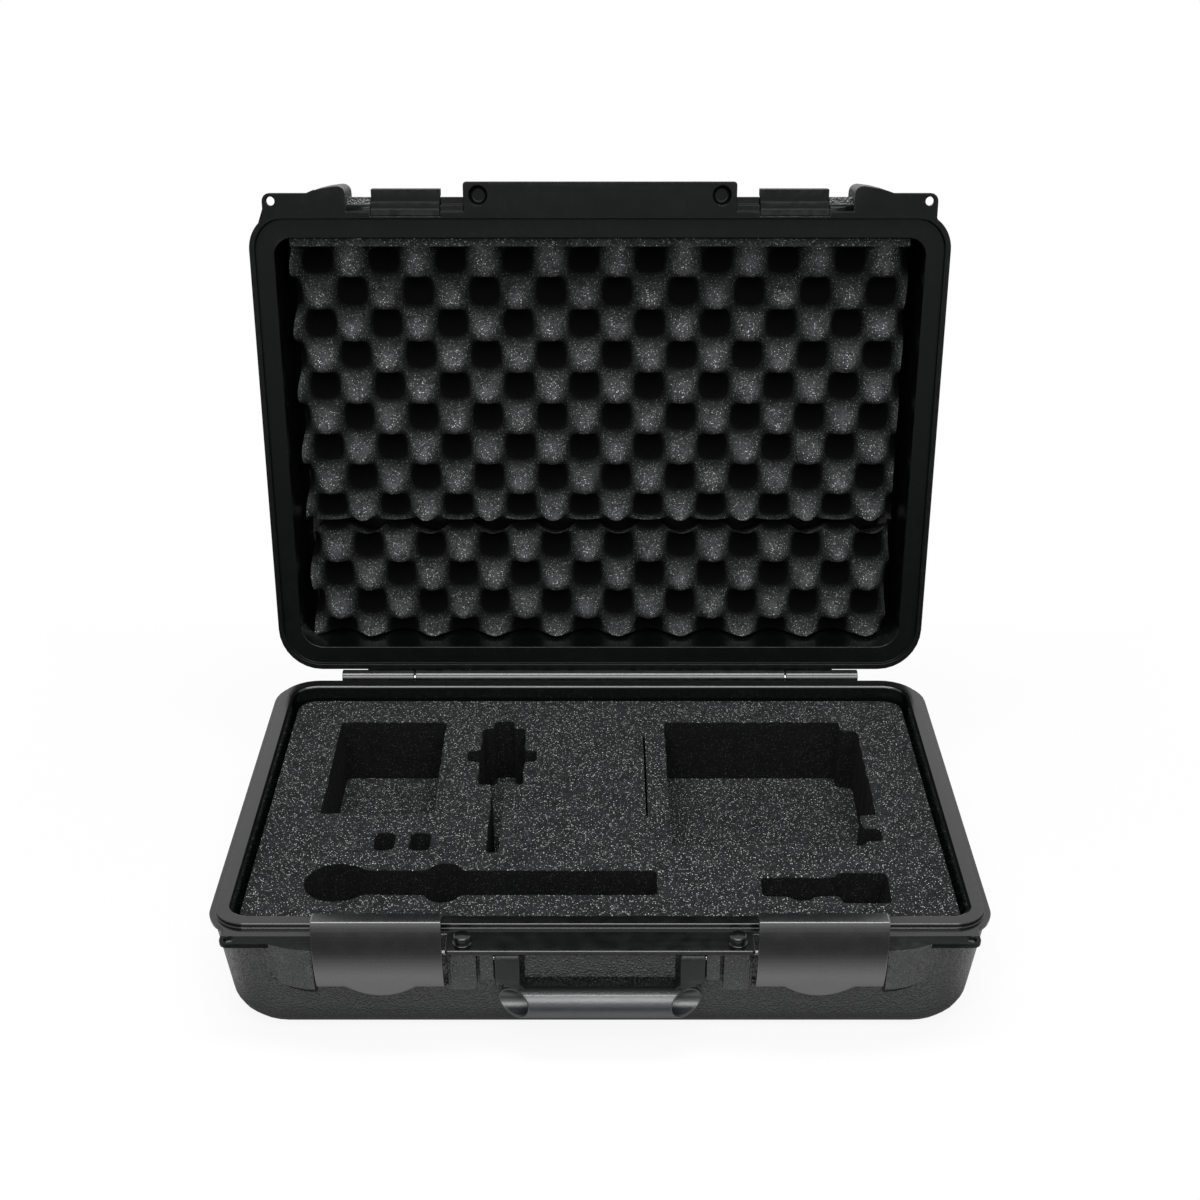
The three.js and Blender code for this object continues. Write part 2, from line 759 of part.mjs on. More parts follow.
// Handle: the grip is a tube whose ends are cut on a slant, so its far side is the longer one.
function handle() {
  const pinZ = baseHeight - handlePinDrop;
  const gripY = handlePinLine - gripForward;
  const gripZ = pinZ - gripDrop;
  const gripRing = (side, radius) => Array.from({ length: roundSteps }, (_, i) => {
    const angle = (i / roundSteps) * 2 * Math.PI;
    const reach = gripHalf + gripSlant * Math.cos(angle - gripSlantAngle * RAD);
    return [side * reach, gripY + radius * Math.cos(angle), gripZ + radius * Math.sin(angle)];
  });
  const inner = gripRadius - gripWall;
  const grip = loft([
    gripRing(-1, gripRadius), gripRing(1, gripRadius), gripRing(1, inner), gripRing(-1, inner),
  ], true);
  const armLow = gripZ + gripWall;
  const armOutline = [
    ...arc(handlePinLine, pinZ, armBossRadius, 0, 180, 10),
    [handlePinLine - armBossRadius, armLow + gripWall],
    [handlePinLine - armBossRadius + gripWall, armLow],
    [handlePinLine + armBossRadius - gripWall, armLow],
    [handlePinLine + armBossRadius, armLow + gripWall],
  ];
  const flareZ = gripZ + gripRadius;
  const arms = bothSides((side) => {
    const front = mirrorX([
      [armInner - armFlare, armLow - overrun],
      [armOuter - armFlare, armLow - overrun],
      [armOuter - armFlare, flareZ - armFlare / 2],
      [armOuter, flareZ + armFlare],
      [armOuter, baseHeight],
      [armInner, baseHeight],
      [armInner, flareZ + armFlare],
      [armInner - armFlare, flareZ - armFlare / 2],
    ], side);
    return acrossX(armOutline, -armOuter, armOuter).intersect(alongY(front, ledgeFront, rimFront));
  });
  const bore = rodX(-gripHalf - gripSlant - overrun, gripHalf + gripSlant + overrun, gripY, gripZ, inner);
  const pinBore = rodX(-armOuter - overrun, armOuter + overrun, handlePinLine, pinZ,
    handlePinRadius + clearance, smallRoundSteps);
  return cutBy(joined([grip, ...arms]), [bore, pinBore]);
}

// Latch lever: a bowed plate with a lip over its top, a thumb tab below and two ribs behind.
function latchLever(side) {
  const top = baseHeight;
  const x = side * latchCentre;
  const middle = (latchTop + latchBottom) / 2;
  const rise = (latchTop - latchBottom) / 2;
  const radius = (rise ** 2 + latchBulge ** 2) / (2 * latchBulge);
  const bow = (z, inset) => {
    const offset = Math.sqrt((radius - inset) ** 2 - (z - middle) ** 2) - (radius - latchBulge);
    return latchFront - offset;
  };
  const low = latchBottom - tabDrop;
  const heights = Array.from({ length: 11 }, (_, i) => latchTop - (2 * rise * i) / 10);
  const lipInner = latchTop - lipThickness;
  const innerHeights = heights.filter((z) => z < lipInner);
  const tip = latchFront + lipLength;
  const outline = [
    ...heights.map((z) => [bow(z, 0), z]),
    [latchFront, low],
    [latchFront + latchThickness, low],
    ...innerHeights.reverse().map((z) => [bow(z, latchThickness), z]),
    [bow(lipInner, latchThickness), lipInner - (lipFall * latchThickness) / lipLength],
    [tip, latchTop - lipFall - lipThickness],
    [tip, latchTop - lipFall],
  ].map(([y, z]) => [y, top + z]);
  const bar = acrossX(outline, x - latchWidth / 2, x + latchWidth / 2);
  const tabRadius = (tabHalf ** 2 + tabDrop ** 2) / (2 * tabDrop);
  const tabAngle = Math.asin(tabHalf / tabRadius) / RAD;
  const front = [
    [x + latchWidth / 2, top + latchTop + overrun],
    [x - latchWidth / 2, top + latchTop + overrun],
    [x - latchWidth / 2, top + latchBottom],
    ...arc(x, top + latchBottom - tabDrop + tabRadius, tabRadius, 270 - tabAngle, 270 + tabAngle, cornerSteps),
    [x + latchWidth / 2, top + latchBottom],
  ];
  const face = bar.intersect(alongY(front, latchFront - latchBulge - overrun, rimFront));
  const ribs = bothSides((end) => {
    const inner = x + end * (linkHalf + clearance * 2);
    const outer = inner + end * leverRibThickness;
    const ribOutline = [
      [bow(leverRibTop, latchThickness / 2), top + leverRibTop],
      [bow(leverRibBottom, latchThickness / 2), top + leverRibBottom],
      ...arc(leverPinLine, top - leverPinDrop, linkRadius, -80, 100, smallRoundSteps / 2),
    ];
    return acrossX(ribOutline, Math.min(inner, outer), Math.max(inner, outer));
  });
  const bore = rodX(x - linkHalf - overrun, x + linkHalf + overrun, leverPinLine, top - leverPinDrop,
    latchPinRadius + clearance, smallRoundSteps);
  return cutBy(joined([face, ...ribs]), [bore]);
}

// Link: a flat bar with a rolled eye at each end, one on the base pin and one on the lever pin.
function latchLink(side) {
  const x = side * latchCentre;
  const upper = [basePinLine, baseHeight - basePinDrop];
  const lower = [leverPinLine, baseHeight - leverPinDrop];
  const tilt = Math.atan2(upper[1] - lower[1], upper[0] - lower[0]) / RAD;
  const outline = [
    ...arc(upper[0], upper[1], linkRadius, tilt - 90, tilt + 90, smallRoundSteps / 2),
    ...arc(lower[0], lower[1], linkRadius, tilt + 90, tilt + 270, smallRoundSteps / 2),
  ];
  const bores = [upper, lower].map(([y, z]) => rodX(
    x - linkHalf - overrun, x + linkHalf + overrun, y, z, latchPinRadius + clearance, smallRoundSteps,
  ));
  return cutBy(acrossX(outline, x - linkHalf, x + linkHalf), bores);
}

// Die-cut openings of the tray, as closed outlines in plan. They are drawn for a tray of the plan sizes
// and spread with the real one.
const pocketPlanWidth = 466.4;
const pocketPlanDepth = 302.8;
const pocketPlanMiddle = 3.3;
const slabPocket = { left: -196.5, right: -117, low: -10, high: 121 };
const boxPocket = { left: 49, right: 182, low: -51, high: 121, stepRight: 194, stepLow: -12, stepHigh: 107 };
const boxNotch = { low: -45.5, high: -29.6 };
const packPocket = {
  left: -88.5, right: -56, low: 29.5, high: 111, bumpLeft: -80, bumpRight: -65, bumpHigh: 122,
  earLow: 62, earHigh: 78, earReach: 9, stemLeft: -77.5, stemRight: -69, stemLow: -60,
};
const cellPockets = { lefts: [-154.8, -130.5], width: 14, low: -57, high: -35, corner: 3 };
const wandPocket = {
  headX: -174, centreY: -96, headRadius: 22.4, bodyRadius: 14.3, end: 38,
  ringX: -103.5, ringHalf: 11.5, ringRadius: 23.4,
};
const plugPocket = {
  left: 107, middle: 158, right: 191, low: -112, high: -90, wideLow: -119.8, wideHigh: -84.5,
  bulgeLeft: 124, bulgeRight: 141, bulgeLow: -117,
};
const bladeSlit = { left: 32.4, right: 33.6, low: -15, high: 100 };

function trayPockets() {
  const a = slabPocket;
  const b = boxPocket;
  const p = packPocket;
  const w = wandPocket;
  const g = plugPocket;
  const s = bladeSlit;
  const neck = Math.asin(w.bodyRadius / w.headRadius) / RAD;
  return [
    [[a.left, a.low], [a.right, a.low], [a.right, a.high], [a.left, a.high]],
    [
      [b.left, b.low], [b.right, b.low], [b.right, boxNotch.low], [b.stepRight, boxNotch.low],
      [b.stepRight, boxNotch.high], [b.right, boxNotch.high], [b.right, b.stepLow], [b.stepRight, b.stepLow],
      [b.stepRight, b.stepHigh], [b.right, b.stepHigh], [b.right, b.high], [b.left, b.high],
    ],
    [
      [p.left, p.low], [p.stemLeft, p.low], [p.stemLeft, p.stemLow], [p.stemRight, p.stemLow],
      [p.stemRight, p.low], [p.right, p.low], [p.right, p.earLow], [p.right + p.earReach, p.earLow],
      [p.right + p.earReach, p.earHigh], [p.right, p.earHigh], [p.right, p.high], [p.bumpRight, p.high],
      [p.bumpRight, p.bumpHigh], [p.bumpLeft, p.bumpHigh], [p.bumpLeft, p.high], [p.left, p.high],
      [p.left, p.earHigh], [p.left - p.earReach, p.earHigh], [p.left - p.earReach, p.earLow], [p.left, p.earLow],
    ],
    ...cellPockets.lefts.map((left) => {
      const c = cellPockets;
      return [
        ...arc(left + c.corner, c.low + c.corner, c.corner, 180, 270, 3),
        ...arc(left + c.width - c.corner, c.low + c.corner, c.corner, 270, 360, 3),
        ...arc(left + c.width - c.corner, c.high - c.corner, c.corner, 0, 90, 3),
        ...arc(left + c.corner, c.high - c.corner, c.corner, 90, 180, 3),
      ];
    }),
    [
      ...arc(w.headX, w.centreY, w.headRadius, neck, 360 - neck, roundSteps),
      [w.ringX - w.ringHalf, w.centreY - w.bodyRadius],
      ...arc(0, 0, 1, 180, 360, 6).map(([u, v]) => [
        w.ringX + w.ringHalf * u, w.centreY - w.bodyRadius + (w.ringRadius - w.bodyRadius) * v,
      ]).slice(1, -1),
      [w.ringX + w.ringHalf, w.centreY - w.bodyRadius],
      [w.end, w.centreY - w.bodyRadius],
      [w.end, w.centreY + w.bodyRadius],
      [w.ringX + w.ringHalf, w.centreY + w.bodyRadius],
      ...arc(0, 0, 1, 0, 180, 6).map(([u, v]) => [
        w.ringX + w.ringHalf * u, w.centreY + w.bodyRadius + (w.ringRadius - w.bodyRadius) * v,
      ]).slice(1, -1),
      [w.ringX - w.ringHalf, w.centreY + w.bodyRadius],
    ],
    [
      [g.left, g.low], [g.bulgeLeft, g.low], [g.bulgeLeft + g.low - g.bulgeLow, g.bulgeLow],
      [g.bulgeRight - g.low + g.bulgeLow, g.bulgeLow], [g.bulgeRight, g.low], [g.middle, g.low],
      [g.middle, g.wideLow], [g.right, g.wideLow], [g.right, g.wideHigh], [g.middle, g.wideHigh],
      [g.middle, g.high], [g.left, g.high],
    ],
    [[s.left, s.low], [s.right, s.low], [s.right, s.high], [s.left, s.high]],
  ];
}

const linerInset = landWidth + tongueWidth + rimEdgeRadius;
const trayHalf = halfWidth - linerInset - foamSideGap;
const trayFront = rimFront + linerInset + foamFrontGap;
const trayBack = rimBack - linerInset - foamBackGap;
const trayTop = baseHeight - trayDrop;
const trayLow = floorThickness + foamPadThickness + 2 * clearance;

function foamRing(inset) {
  return ring(trayHalf - inset, trayFront + inset, trayBack - inset, foamCorner, foamCorner, 0)
    .map(([x, y]) => [x, y]);
}

function foamTray() {
  const shape = shapeFrom(foamRing(0));
  const spreadX = (2 * trayHalf) / pocketPlanWidth;
  const spreadY = (trayBack - trayFront) / pocketPlanDepth;
  const middle = (trayFront + trayBack) / 2;
  shape.holes = trayPockets().map((points) => new THREE.Path(points.map(
    ([x, y]) => new THREE.Vector2(x * spreadX, middle + (y - pocketPlanMiddle) * spreadY),
  )));
  const geometry = new THREE.ExtrudeGeometry(shape, { depth: trayTop - trayLow, bevelEnabled: false });
  geometry.translate(0, 0, trayLow);
  return solidOf(geometry);
}

function foamPad() {
  return plate(foamRing(foamPadInset), floorThickness + clearance, trayLow - clearance);
}

// Convoluted foam: peaks and dips alternate like a chessboard. The height is a product of two cosines,
// flattened a little at the tops by a power, and the sheet's back is flat.
const sheetHalf = halfWidth - lidRimWidth - rimEdgeRadius - sheetSideGap;
const sheetFront = rimFront + lidRimWidth + rimEdgeRadius + sheetEndGap;
const sheetBack = rimBack - lidRimWidth - rimEdgeRadius - sheetEndGap;
const sheetSeam = sheetBack - lowerSheetDepth;

function convolutedSheet(front, back, peakRow) {
  const floor = lidHeight - floorThickness - clearance;
  const columns = Math.round((2 * sheetHalf) / (peakPitchX / 4));
  const rows = Math.round((back - front) / (peakPitchY / 4));
  const points = [];
  const heightAt = (x, y) => {
    const along = Math.cos((2 * Math.PI * (x - peakOffsetX)) / peakPitchX);
    const wave = along * Math.cos((2 * Math.PI * (y - peakRow)) / peakPitchY);
    const swell = Math.sign(wave) * Math.abs(wave) ** peakShapeShare;
    return floor - sheetThickness + (peakHeight * (1 - swell)) / 2;
  };
  for (let j = 0; j <= rows; j += 1) {
    for (let i = 0; i <= columns; i += 1) {
      const y = front + ((back - front) * j) / rows;
      const cut = y === sheetFront || y === sheetBack ? sheetCornerCut : 0;
      const x = (sheetHalf - cut) * ((2 * i) / columns - 1);
      points.push([x, y, heightAt(x, y)]);
    }
  }
  const at = (i, j) => j * (columns + 1) + i;
  const index = [];
  for (let j = 0; j < rows; j += 1) {
    for (let i = 0; i < columns; i += 1) {
      index.push(at(i, j), at(i + 1, j + 1), at(i + 1, j), at(i, j), at(i, j + 1), at(i + 1, j + 1));
    }
  }
  const border = [
    ...Array.from({ length: columns }, (_, i) => at(i, 0)),
    ...Array.from({ length: rows }, (_, j) => at(columns, j)),
    ...Array.from({ length: columns }, (_, i) => at(columns - i, rows)),
    ...Array.from({ length: rows }, (_, j) => at(0, rows - j)),
  ];
  const back0 = points.length;
  const middle = (front + back) / 2;
  const inX = 1 - sheetBackInset / sheetHalf;
  const inY = (edge) => (edge === sheetFront || edge === sheetBack ? sheetBackInset * Math.sign(middle - edge) : 0);
  border.forEach((k) => points.push([points[k][0] * inX, points[k][1] + inY(points[k][1]), floor]));
  border.forEach((k, n) => {
    const next = (n + 1) % border.length;
    index.push(k, border[next], back0 + next, k, back0 + next, back0 + n);
  });
  const centre = points.length;
  points.push([0, middle, floor]);
  border.forEach((_, n) => index.push(back0 + n, back0 + ((n + 1) % border.length), centre));
  const geometry = new THREE.BufferGeometry();
  geometry.setAttribute('position', new THREE.Float32BufferAttribute(points.flat(), 3));
  geometry.setIndex(index);
  return solidOf(geometry);
}

// Assembly.
const group = new THREE.Group();

function add(parent, name, solid, material) {
  const mesh = new THREE.Mesh(geometryOf(solid), material);
  mesh.name = name;
  parent.add(mesh);
}

function addPin(parent, name, x0, x1, y, z, radius) {
  add(parent, name, rodX(x0, x1, y, z, radius, smallRoundSteps), steel);
}

const sides = [['left', -1], ['right', 1]];

add(group, 'base_shell', baseShell(), plastic);
add(group, 'base_foam_pad', foamPad(), foam);
add(group, 'base_foam_tray', foamTray(), foam);
addPin(group, 'hinge_pin', -hingeHalf + knuckleGap, hingeHalf - knuckleGap, hingeLine, baseHeight, hingePinRadius);
add(group, 'handle', handle(), gripFinish);

for (const [name, side] of sides) {
  const pinReach = latchWidth / 2 + pinBite;
  add(group, `snap_post_${name}`, post(side), gloss);
  add(group, `latch_lever_${name}`, latchLever(side), latchFinish);
  add(group, `latch_link_${name}`, latchLink(side), gloss);
  spanX(side, latchCentre - pinReach, latchCentre + pinReach, (x0, x1) => addPin(
    group, `latch_base_pin_${name}`, x0, x1, basePinLine, baseHeight - basePinDrop, latchPinRadius,
  ));
  const ribEnd = linkHalf + clearance * 2 + leverRibThickness;
  addPin(group, `latch_lever_pin_${name}`, side * latchCentre - ribEnd, side * latchCentre + ribEnd,
    leverPinLine, baseHeight - leverPinDrop, latchPinRadius);
  spanX(side, armInner + knuckleGap, armOuter + handlePinBite, (x0, x1) => addPin(
    group, `handle_pin_${name}`, x0, x1, handlePinLine, baseHeight - handlePinDrop, handlePinRadius,
  ));
}

// The lid is drawn closed over its own parting plane, then swung open about the hinge axis.
const lid = new THREE.Group();
lid.position.set(0, hingeLine, baseHeight);
lid.rotation.x = -lidOpenAngle * RAD;
const lidFrame = new THREE.Group();
lidFrame.position.set(0, -hingeLine, 0);
lid.add(lidFrame);
group.add(lid);

add(lidFrame, 'lid_shell', lidShell(), plastic);
add(lidFrame, 'lid_foam_upper', convolutedSheet(sheetFront, sheetSeam - seamGap, sheetSeam - upperPeakInset), foam);
add(lidFrame, 'lid_foam_lower', convolutedSheet(sheetSeam, sheetBack, sheetBack - lowerPeakInset), foam);
for (const [name, side] of sides) add(lidFrame, `lid_catch_${name}`, catchStrip(side), gloss);

export default group;
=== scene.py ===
import math

import bmesh
import bpy
import numpy as np
from mathutils.geometry import delaunay_2d_cdt
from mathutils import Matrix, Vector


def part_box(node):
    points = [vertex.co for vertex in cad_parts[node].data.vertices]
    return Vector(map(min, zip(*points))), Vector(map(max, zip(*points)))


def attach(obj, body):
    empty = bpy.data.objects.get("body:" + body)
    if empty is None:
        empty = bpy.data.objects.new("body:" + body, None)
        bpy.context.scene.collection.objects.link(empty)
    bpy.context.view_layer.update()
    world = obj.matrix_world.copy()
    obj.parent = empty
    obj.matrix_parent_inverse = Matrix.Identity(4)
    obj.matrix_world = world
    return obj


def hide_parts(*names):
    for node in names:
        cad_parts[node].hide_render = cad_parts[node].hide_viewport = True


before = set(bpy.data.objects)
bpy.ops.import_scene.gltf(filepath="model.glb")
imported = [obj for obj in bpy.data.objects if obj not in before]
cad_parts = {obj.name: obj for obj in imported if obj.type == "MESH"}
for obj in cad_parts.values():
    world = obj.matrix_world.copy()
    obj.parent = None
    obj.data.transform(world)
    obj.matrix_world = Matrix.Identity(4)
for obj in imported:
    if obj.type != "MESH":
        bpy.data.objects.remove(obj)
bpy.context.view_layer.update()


# The studio: a pale floor that fades into a white room, one broad soft lamp above the front and a narrower
# one above the case. The camera looks down on the open case from the front. Its frame is the upper part of
# a taller picture, so its sensor is shifted.
camera_data = bpy.data.cameras.new("camera")
camera_data.sensor_width = 36
camera_data.lens = 53.25
camera_data.shift_y = 0.25
camera = bpy.data.objects.new("camera", camera_data)
camera.location = (0, -1.068, 0.7351)
camera.rotation_euler = (math.radians(90 - 34.88), 0, 0)
bpy.context.scene.collection.objects.link(camera)
bpy.context.scene.camera = camera
bpy.context.scene.view_settings.view_transform = "Standard"


def math_node(tree, operation, first, second):
    """A Math node whose two inputs are sockets or plain numbers."""
    node = tree.nodes.new("ShaderNodeMath")
    node.operation = operation
    for slot_number, value in enumerate((first, second)):
        if isinstance(value, (int, float)):
            node.inputs[slot_number].default_value = value
        else:
            tree.links.new(value, node.inputs[slot_number])
    return node.outputs[0]


def remap(tree, value, low, high, to_low, to_high):
    """A value mapped from one span to another and held inside it."""
    node = tree.nodes.new("ShaderNodeMapRange")
    tree.links.new(value, node.inputs["Value"])
    for key, number in (("From Min", low), ("From Max", high), ("To Min", to_low), ("To Max", to_high)):
        node.inputs[key].default_value = number
    return node.outputs[0]


def seen_by_eye(tree):
    """1 for rays that reach the eye straight, by a mirror or through glass, and 0 for light on things."""
    path = tree.nodes.new("ShaderNodeLightPath")
    either = math_node(tree, "MAXIMUM", path.outputs["Is Camera Ray"], path.outputs["Is Glossy Ray"])
    return math_node(tree, "MAXIMUM", either, path.outputs["Is Transmission Ray"])


room = bpy.data.worlds.new("room")
bpy.context.scene.world = room
room.use_nodes = True
room.node_tree.nodes["Background"].inputs["Color"].default_value = (1, 1, 1, 1)
room.node_tree.links.new(
    remap(room.node_tree, seen_by_eye(room.node_tree), 0, 1, 0.06, 1),
    room.node_tree.nodes["Background"].inputs["Strength"],
)


def new_mesh(name, points, faces):
    """A mesh from points in millimetres, one row each, and faces as rows of point numbers."""
    mesh = bpy.data.meshes.new(name)
    mesh.from_pydata((np.asarray(points, float) * 0.001).tolist(), [], np.asarray(faces).tolist())
    mesh.update()
    return mesh


def placed(name, mesh, *materials):
    """An object at the origin that shows a mesh in these materials."""
    piece = bpy.data.objects.new(name, mesh)
    bpy.context.scene.collection.objects.link(piece)
    for material in materials:
        mesh.materials.append(material)
    return piece


def new_finish(name, color, roughness):
    """A material with its Principled shader, and the calls that add and wire nodes in it."""
    material = bpy.data.materials.new(name)
    material.use_nodes = True
    nodes, links = material.node_tree.nodes, material.node_tree.links
    shader = nodes["Principled BSDF"]
    shader.inputs["Base Color"].default_value = (*color, 1)
    shader.inputs["Roughness"].default_value = roughness
    return material, nodes, links, shader


# The floor is a pale table top. Mirrored in the case it glows with painted light: white close by, falling off
# further out, and a painted shadow under the case. Far from the case the eye sees it as plain white.
floor_paint, floor_nodes, floor_links, floor_shader = new_finish("floor_paint", (0.86, 0.86, 0.86), 0.9)
floor_tree = floor_paint.node_tree
floor_place = floor_nodes.new("ShaderNodeSeparateXYZ")
floor_links.new(floor_nodes.new("ShaderNodeTexCoord").outputs["Object"], floor_place.inputs[0])
floor_past_sides, floor_past_ends = (
    math_node(floor_tree, "SUBTRACT", math_node(floor_tree, "ABSOLUTE", floor_place.outputs[axis], 0), reach)
    for axis, reach in (("X", 0.25), ("Y", 0.172))
)
floor_away = math_node(floor_tree, "MAXIMUM", floor_past_sides, floor_past_ends)
# Painted light, seen in reflections: a painted shadow under the case, full glow from 45 mm out, fading from 60
# to 150 mm.
floor_painted_glow = math_node(
    floor_tree, "MULTIPLY",
    remap(floor_tree, floor_away, 0.0, 0.045, 0.15, 1), remap(floor_tree, floor_away, 0.06, 0.15, 1, 0.1),
)
floor_path = floor_nodes.new("ShaderNodeLightPath")
floor_glow = floor_nodes.new("ShaderNodeEmission")
floor_links.new(
    math_node(floor_tree, "MAXIMUM", floor_path.outputs["Is Camera Ray"], floor_painted_glow),
    floor_glow.inputs["Strength"],
)
floor_mix = floor_nodes.new("ShaderNodeMixShader")
floor_share = remap(floor_tree, floor_away, 0.0, 0.3, 0.9, 1)
floor_links.new(math_node(floor_tree, "MULTIPLY", seen_by_eye(floor_tree), floor_share), floor_mix.inputs[0])
floor_links.new(floor_shader.outputs[0], floor_mix.inputs[1])
floor_links.new(floor_glow.outputs[0], floor_mix.inputs[2])
floor_links.new(floor_mix.outputs[0], floor_nodes["Material Output"].inputs["Surface"])
floor_reach = 6000
floor = placed("floor", new_mesh("floor", [
    (-floor_reach, -floor_reach, -0.4), (floor_reach, -floor_reach, -0.4),
    (floor_reach, floor_reach, -0.4), (-floor_reach, floor_reach, -0.4),
], [(0, 1, 2, 3)]), floor_paint)


def soft_lamp(name, place, aim, width, depth, watts):
    """A rectangular lamp at a place, turned so that it shines at the aim."""
    data = bpy.data.lights.new(name, "AREA")
    data.shape = "RECTANGLE"
    data.size = width
    data.size_y = depth
    data.energy = watts
    lamp = bpy.data.objects.new(name, data)
    lamp.location = place
    way = np.subtract(aim, place)
    lamp.rotation_euler = (
        math.atan2(math.hypot(way[0], way[1]), -way[2]), 0, math.atan2(-way[0], way[1]),
    )
    bpy.context.scene.collection.objects.link(lamp)


soft_lamp("lamp_front", (0.05, -1.25, 1.3), (0, 0.15, 0.25), 1.6, 0.9, 24)
soft_lamp("lamp_above", (0, -0.2, 1.7), (0, 0, 0.1), 1.3, 0.4, 21)


# The base shell: one moulding of black plastic with a pebble grain outside and a smooth satin rim,
# tongue and liner. Its grain comes from the mould, and its edges are a little brighter with handling.
def effect(name, inputs, outputs):
    """An empty node group with named inputs and outputs, and its two end nodes."""
    group = bpy.data.node_groups.new(name, "ShaderNodeTree")
    for label, kind, value in inputs:
        socket = group.interface.new_socket(name=label, in_out="INPUT", socket_type=kind)
        if value is not None:
            socket.default_value = value
    for label, kind in outputs:
        group.interface.new_socket(name=label, in_out="OUTPUT", socket_type=kind)
    return group, group.nodes.new("NodeGroupInput"), group.nodes.new("NodeGroupOutput")


def texture(tree, kind, vector, scale, **settings):
    """A texture node on a vector, with its scale as a socket or a number."""
    node = tree.nodes.new(kind)
    for key, value in settings.items():
        if key in node.inputs:
            node.inputs[key].default_value = value
        else:
            setattr(node, key, value)
    tree.links.new(vector, node.inputs["Vector"])
    if isinstance(scale, (int, float)):
        node.inputs["Scale"].default_value = scale
    else:
        tree.links.new(scale, node.inputs["Scale"])
    return node


# Pebble grain: rounded cells with narrow valleys, over a slower swell.
pebble, pebble_in, pebble_out = effect(
    "pebble_grain",
    [("Vector", "NodeSocketVector", None), ("Scale", "NodeSocketFloat", 700.0)],
    [("Height", "NodeSocketFloat"), ("Tone", "NodeSocketFloat")],
)
pebble_cells = texture(
    pebble, "ShaderNodeTexVoronoi", pebble_in.outputs["Vector"], pebble_in.outputs["Scale"],
    feature="SMOOTH_F1", Smoothness=0.6,
)
pebble_swell = texture(pebble, "ShaderNodeTexNoise", pebble_in.outputs["Vector"], 90, Detail=2.0)
pebble_dome = remap(pebble, pebble_cells.outputs["Distance"], 0.05, 0.6, 1, 0)
pebble.links.new(
    math_node(pebble, "ADD", pebble_dome, math_node(pebble, "MULTIPLY", pebble_swell.outputs["Fac"], 0.5)),
    pebble_out.inputs["Height"],
)
pebble.links.new(pebble_swell.outputs["Fac"], pebble_out.inputs["Tone"])

# Handling wear: a mask that is 1 on rounded-over outer edges, broken up by a fine noise.
wear, wear_in, wear_out = effect(
    "handling_wear",
    [("Vector", "NodeSocketVector", None)],
    [("Mask", "NodeSocketFloat")],
)
wear_shape = wear.nodes.new("ShaderNodeNewGeometry")
wear_edge = remap(wear, wear_shape.outputs["Pointiness"], 0.52, 0.6, 0, 1)
wear_noise = texture(wear, "ShaderNodeTexNoise", wear_in.outputs["Vector"], 160, Detail=4.0)
wear.links.new(
    math_node(wear, "MULTIPLY", wear_edge, remap(wear, wear_noise.outputs["Fac"], 0.4, 0.6, 0.2, 1)),
    wear_out.inputs["Mask"],
)


def grouped(nodes, links, group, vector, **values):
    """A node group in a material, fed with a vector and its own values."""
    node = nodes.new("ShaderNodeGroup")
    node.node_tree = group
    links.new(vector, node.inputs["Vector"])
    for key, value in values.items():
        node.inputs[key].default_value = value
    return node


def bumped(nodes, links, shader, height, depth):
    """A Bump node of a depth in metres that feeds the shader's normal."""
    bump = nodes.new("ShaderNodeBump")
    bump.inputs["Distance"].default_value = depth
    links.new(height, bump.inputs["Height"])
    links.new(bump.outputs["Normal"], shader.inputs["Normal"])
    return bump


def moulded_finish(name, color, worn_color, roughness, gloss, grain_scale, grain_depth, lacquer=0):
    """Moulded plastic: grain from the mould in its bump and roughness, and paler worn edges."""
    material, nodes, links, shader = new_finish(name, color, roughness)
    shader.inputs["Specular IOR Level"].default_value = gloss
    shader.inputs["Coat Weight"].default_value = lacquer
    shader.inputs["Coat Roughness"].default_value = roughness * 0.8
    place = nodes.new("ShaderNodeTexCoord").outputs["Object"]
    grain = grouped(nodes, links, pebble, place, Scale=grain_scale)
    handled = grouped(nodes, links, wear, place)
    tint = nodes.new("ShaderNodeMix")
    tint.data_type = "RGBA"
    tint.inputs["A"].default_value = (*color, 1)
    tint.inputs["B"].default_value = (*worn_color, 1)
    links.new(handled.outputs["Mask"], tint.inputs["Factor"])
    links.new(tint.outputs["Result"], shader.inputs["Base Color"])
    links.new(
        remap(material.node_tree, grain.outputs["Tone"], 0.3, 0.7, roughness - 0.03, roughness + 0.04),
        shader.inputs["Roughness"],
    )
    bumped(nodes, links, shader, grain.outputs["Height"], grain_depth)
    return material


grained_plastic = moulded_finish(
    "grained_plastic", color=(0.013, 0.0138, 0.0138), worn_color=(0.04, 0.041, 0.043),
    roughness=0.38, gloss=0.75, grain_scale=650, grain_depth=0.0006,
)
smooth_plastic = moulded_finish(
    "smooth_plastic", color=(0.0025, 0.0028, 0.0028), worn_color=(0.02, 0.021, 0.021),
    roughness=0.15, gloss=0.6, grain_scale=1500, grain_depth=0.000008,
)
rim_plastic = moulded_finish(
    "rim_plastic", color=(0.0028, 0.0031, 0.0031), worn_color=(0.02, 0.021, 0.021),
    roughness=0.25, gloss=0.1, grain_scale=1500, grain_depth=0.000008,
)
half_width = 250
rim_front, rim_back = -163.5, 171.5
land_width, rim_depth, parting_height = 4.3, 3, 80


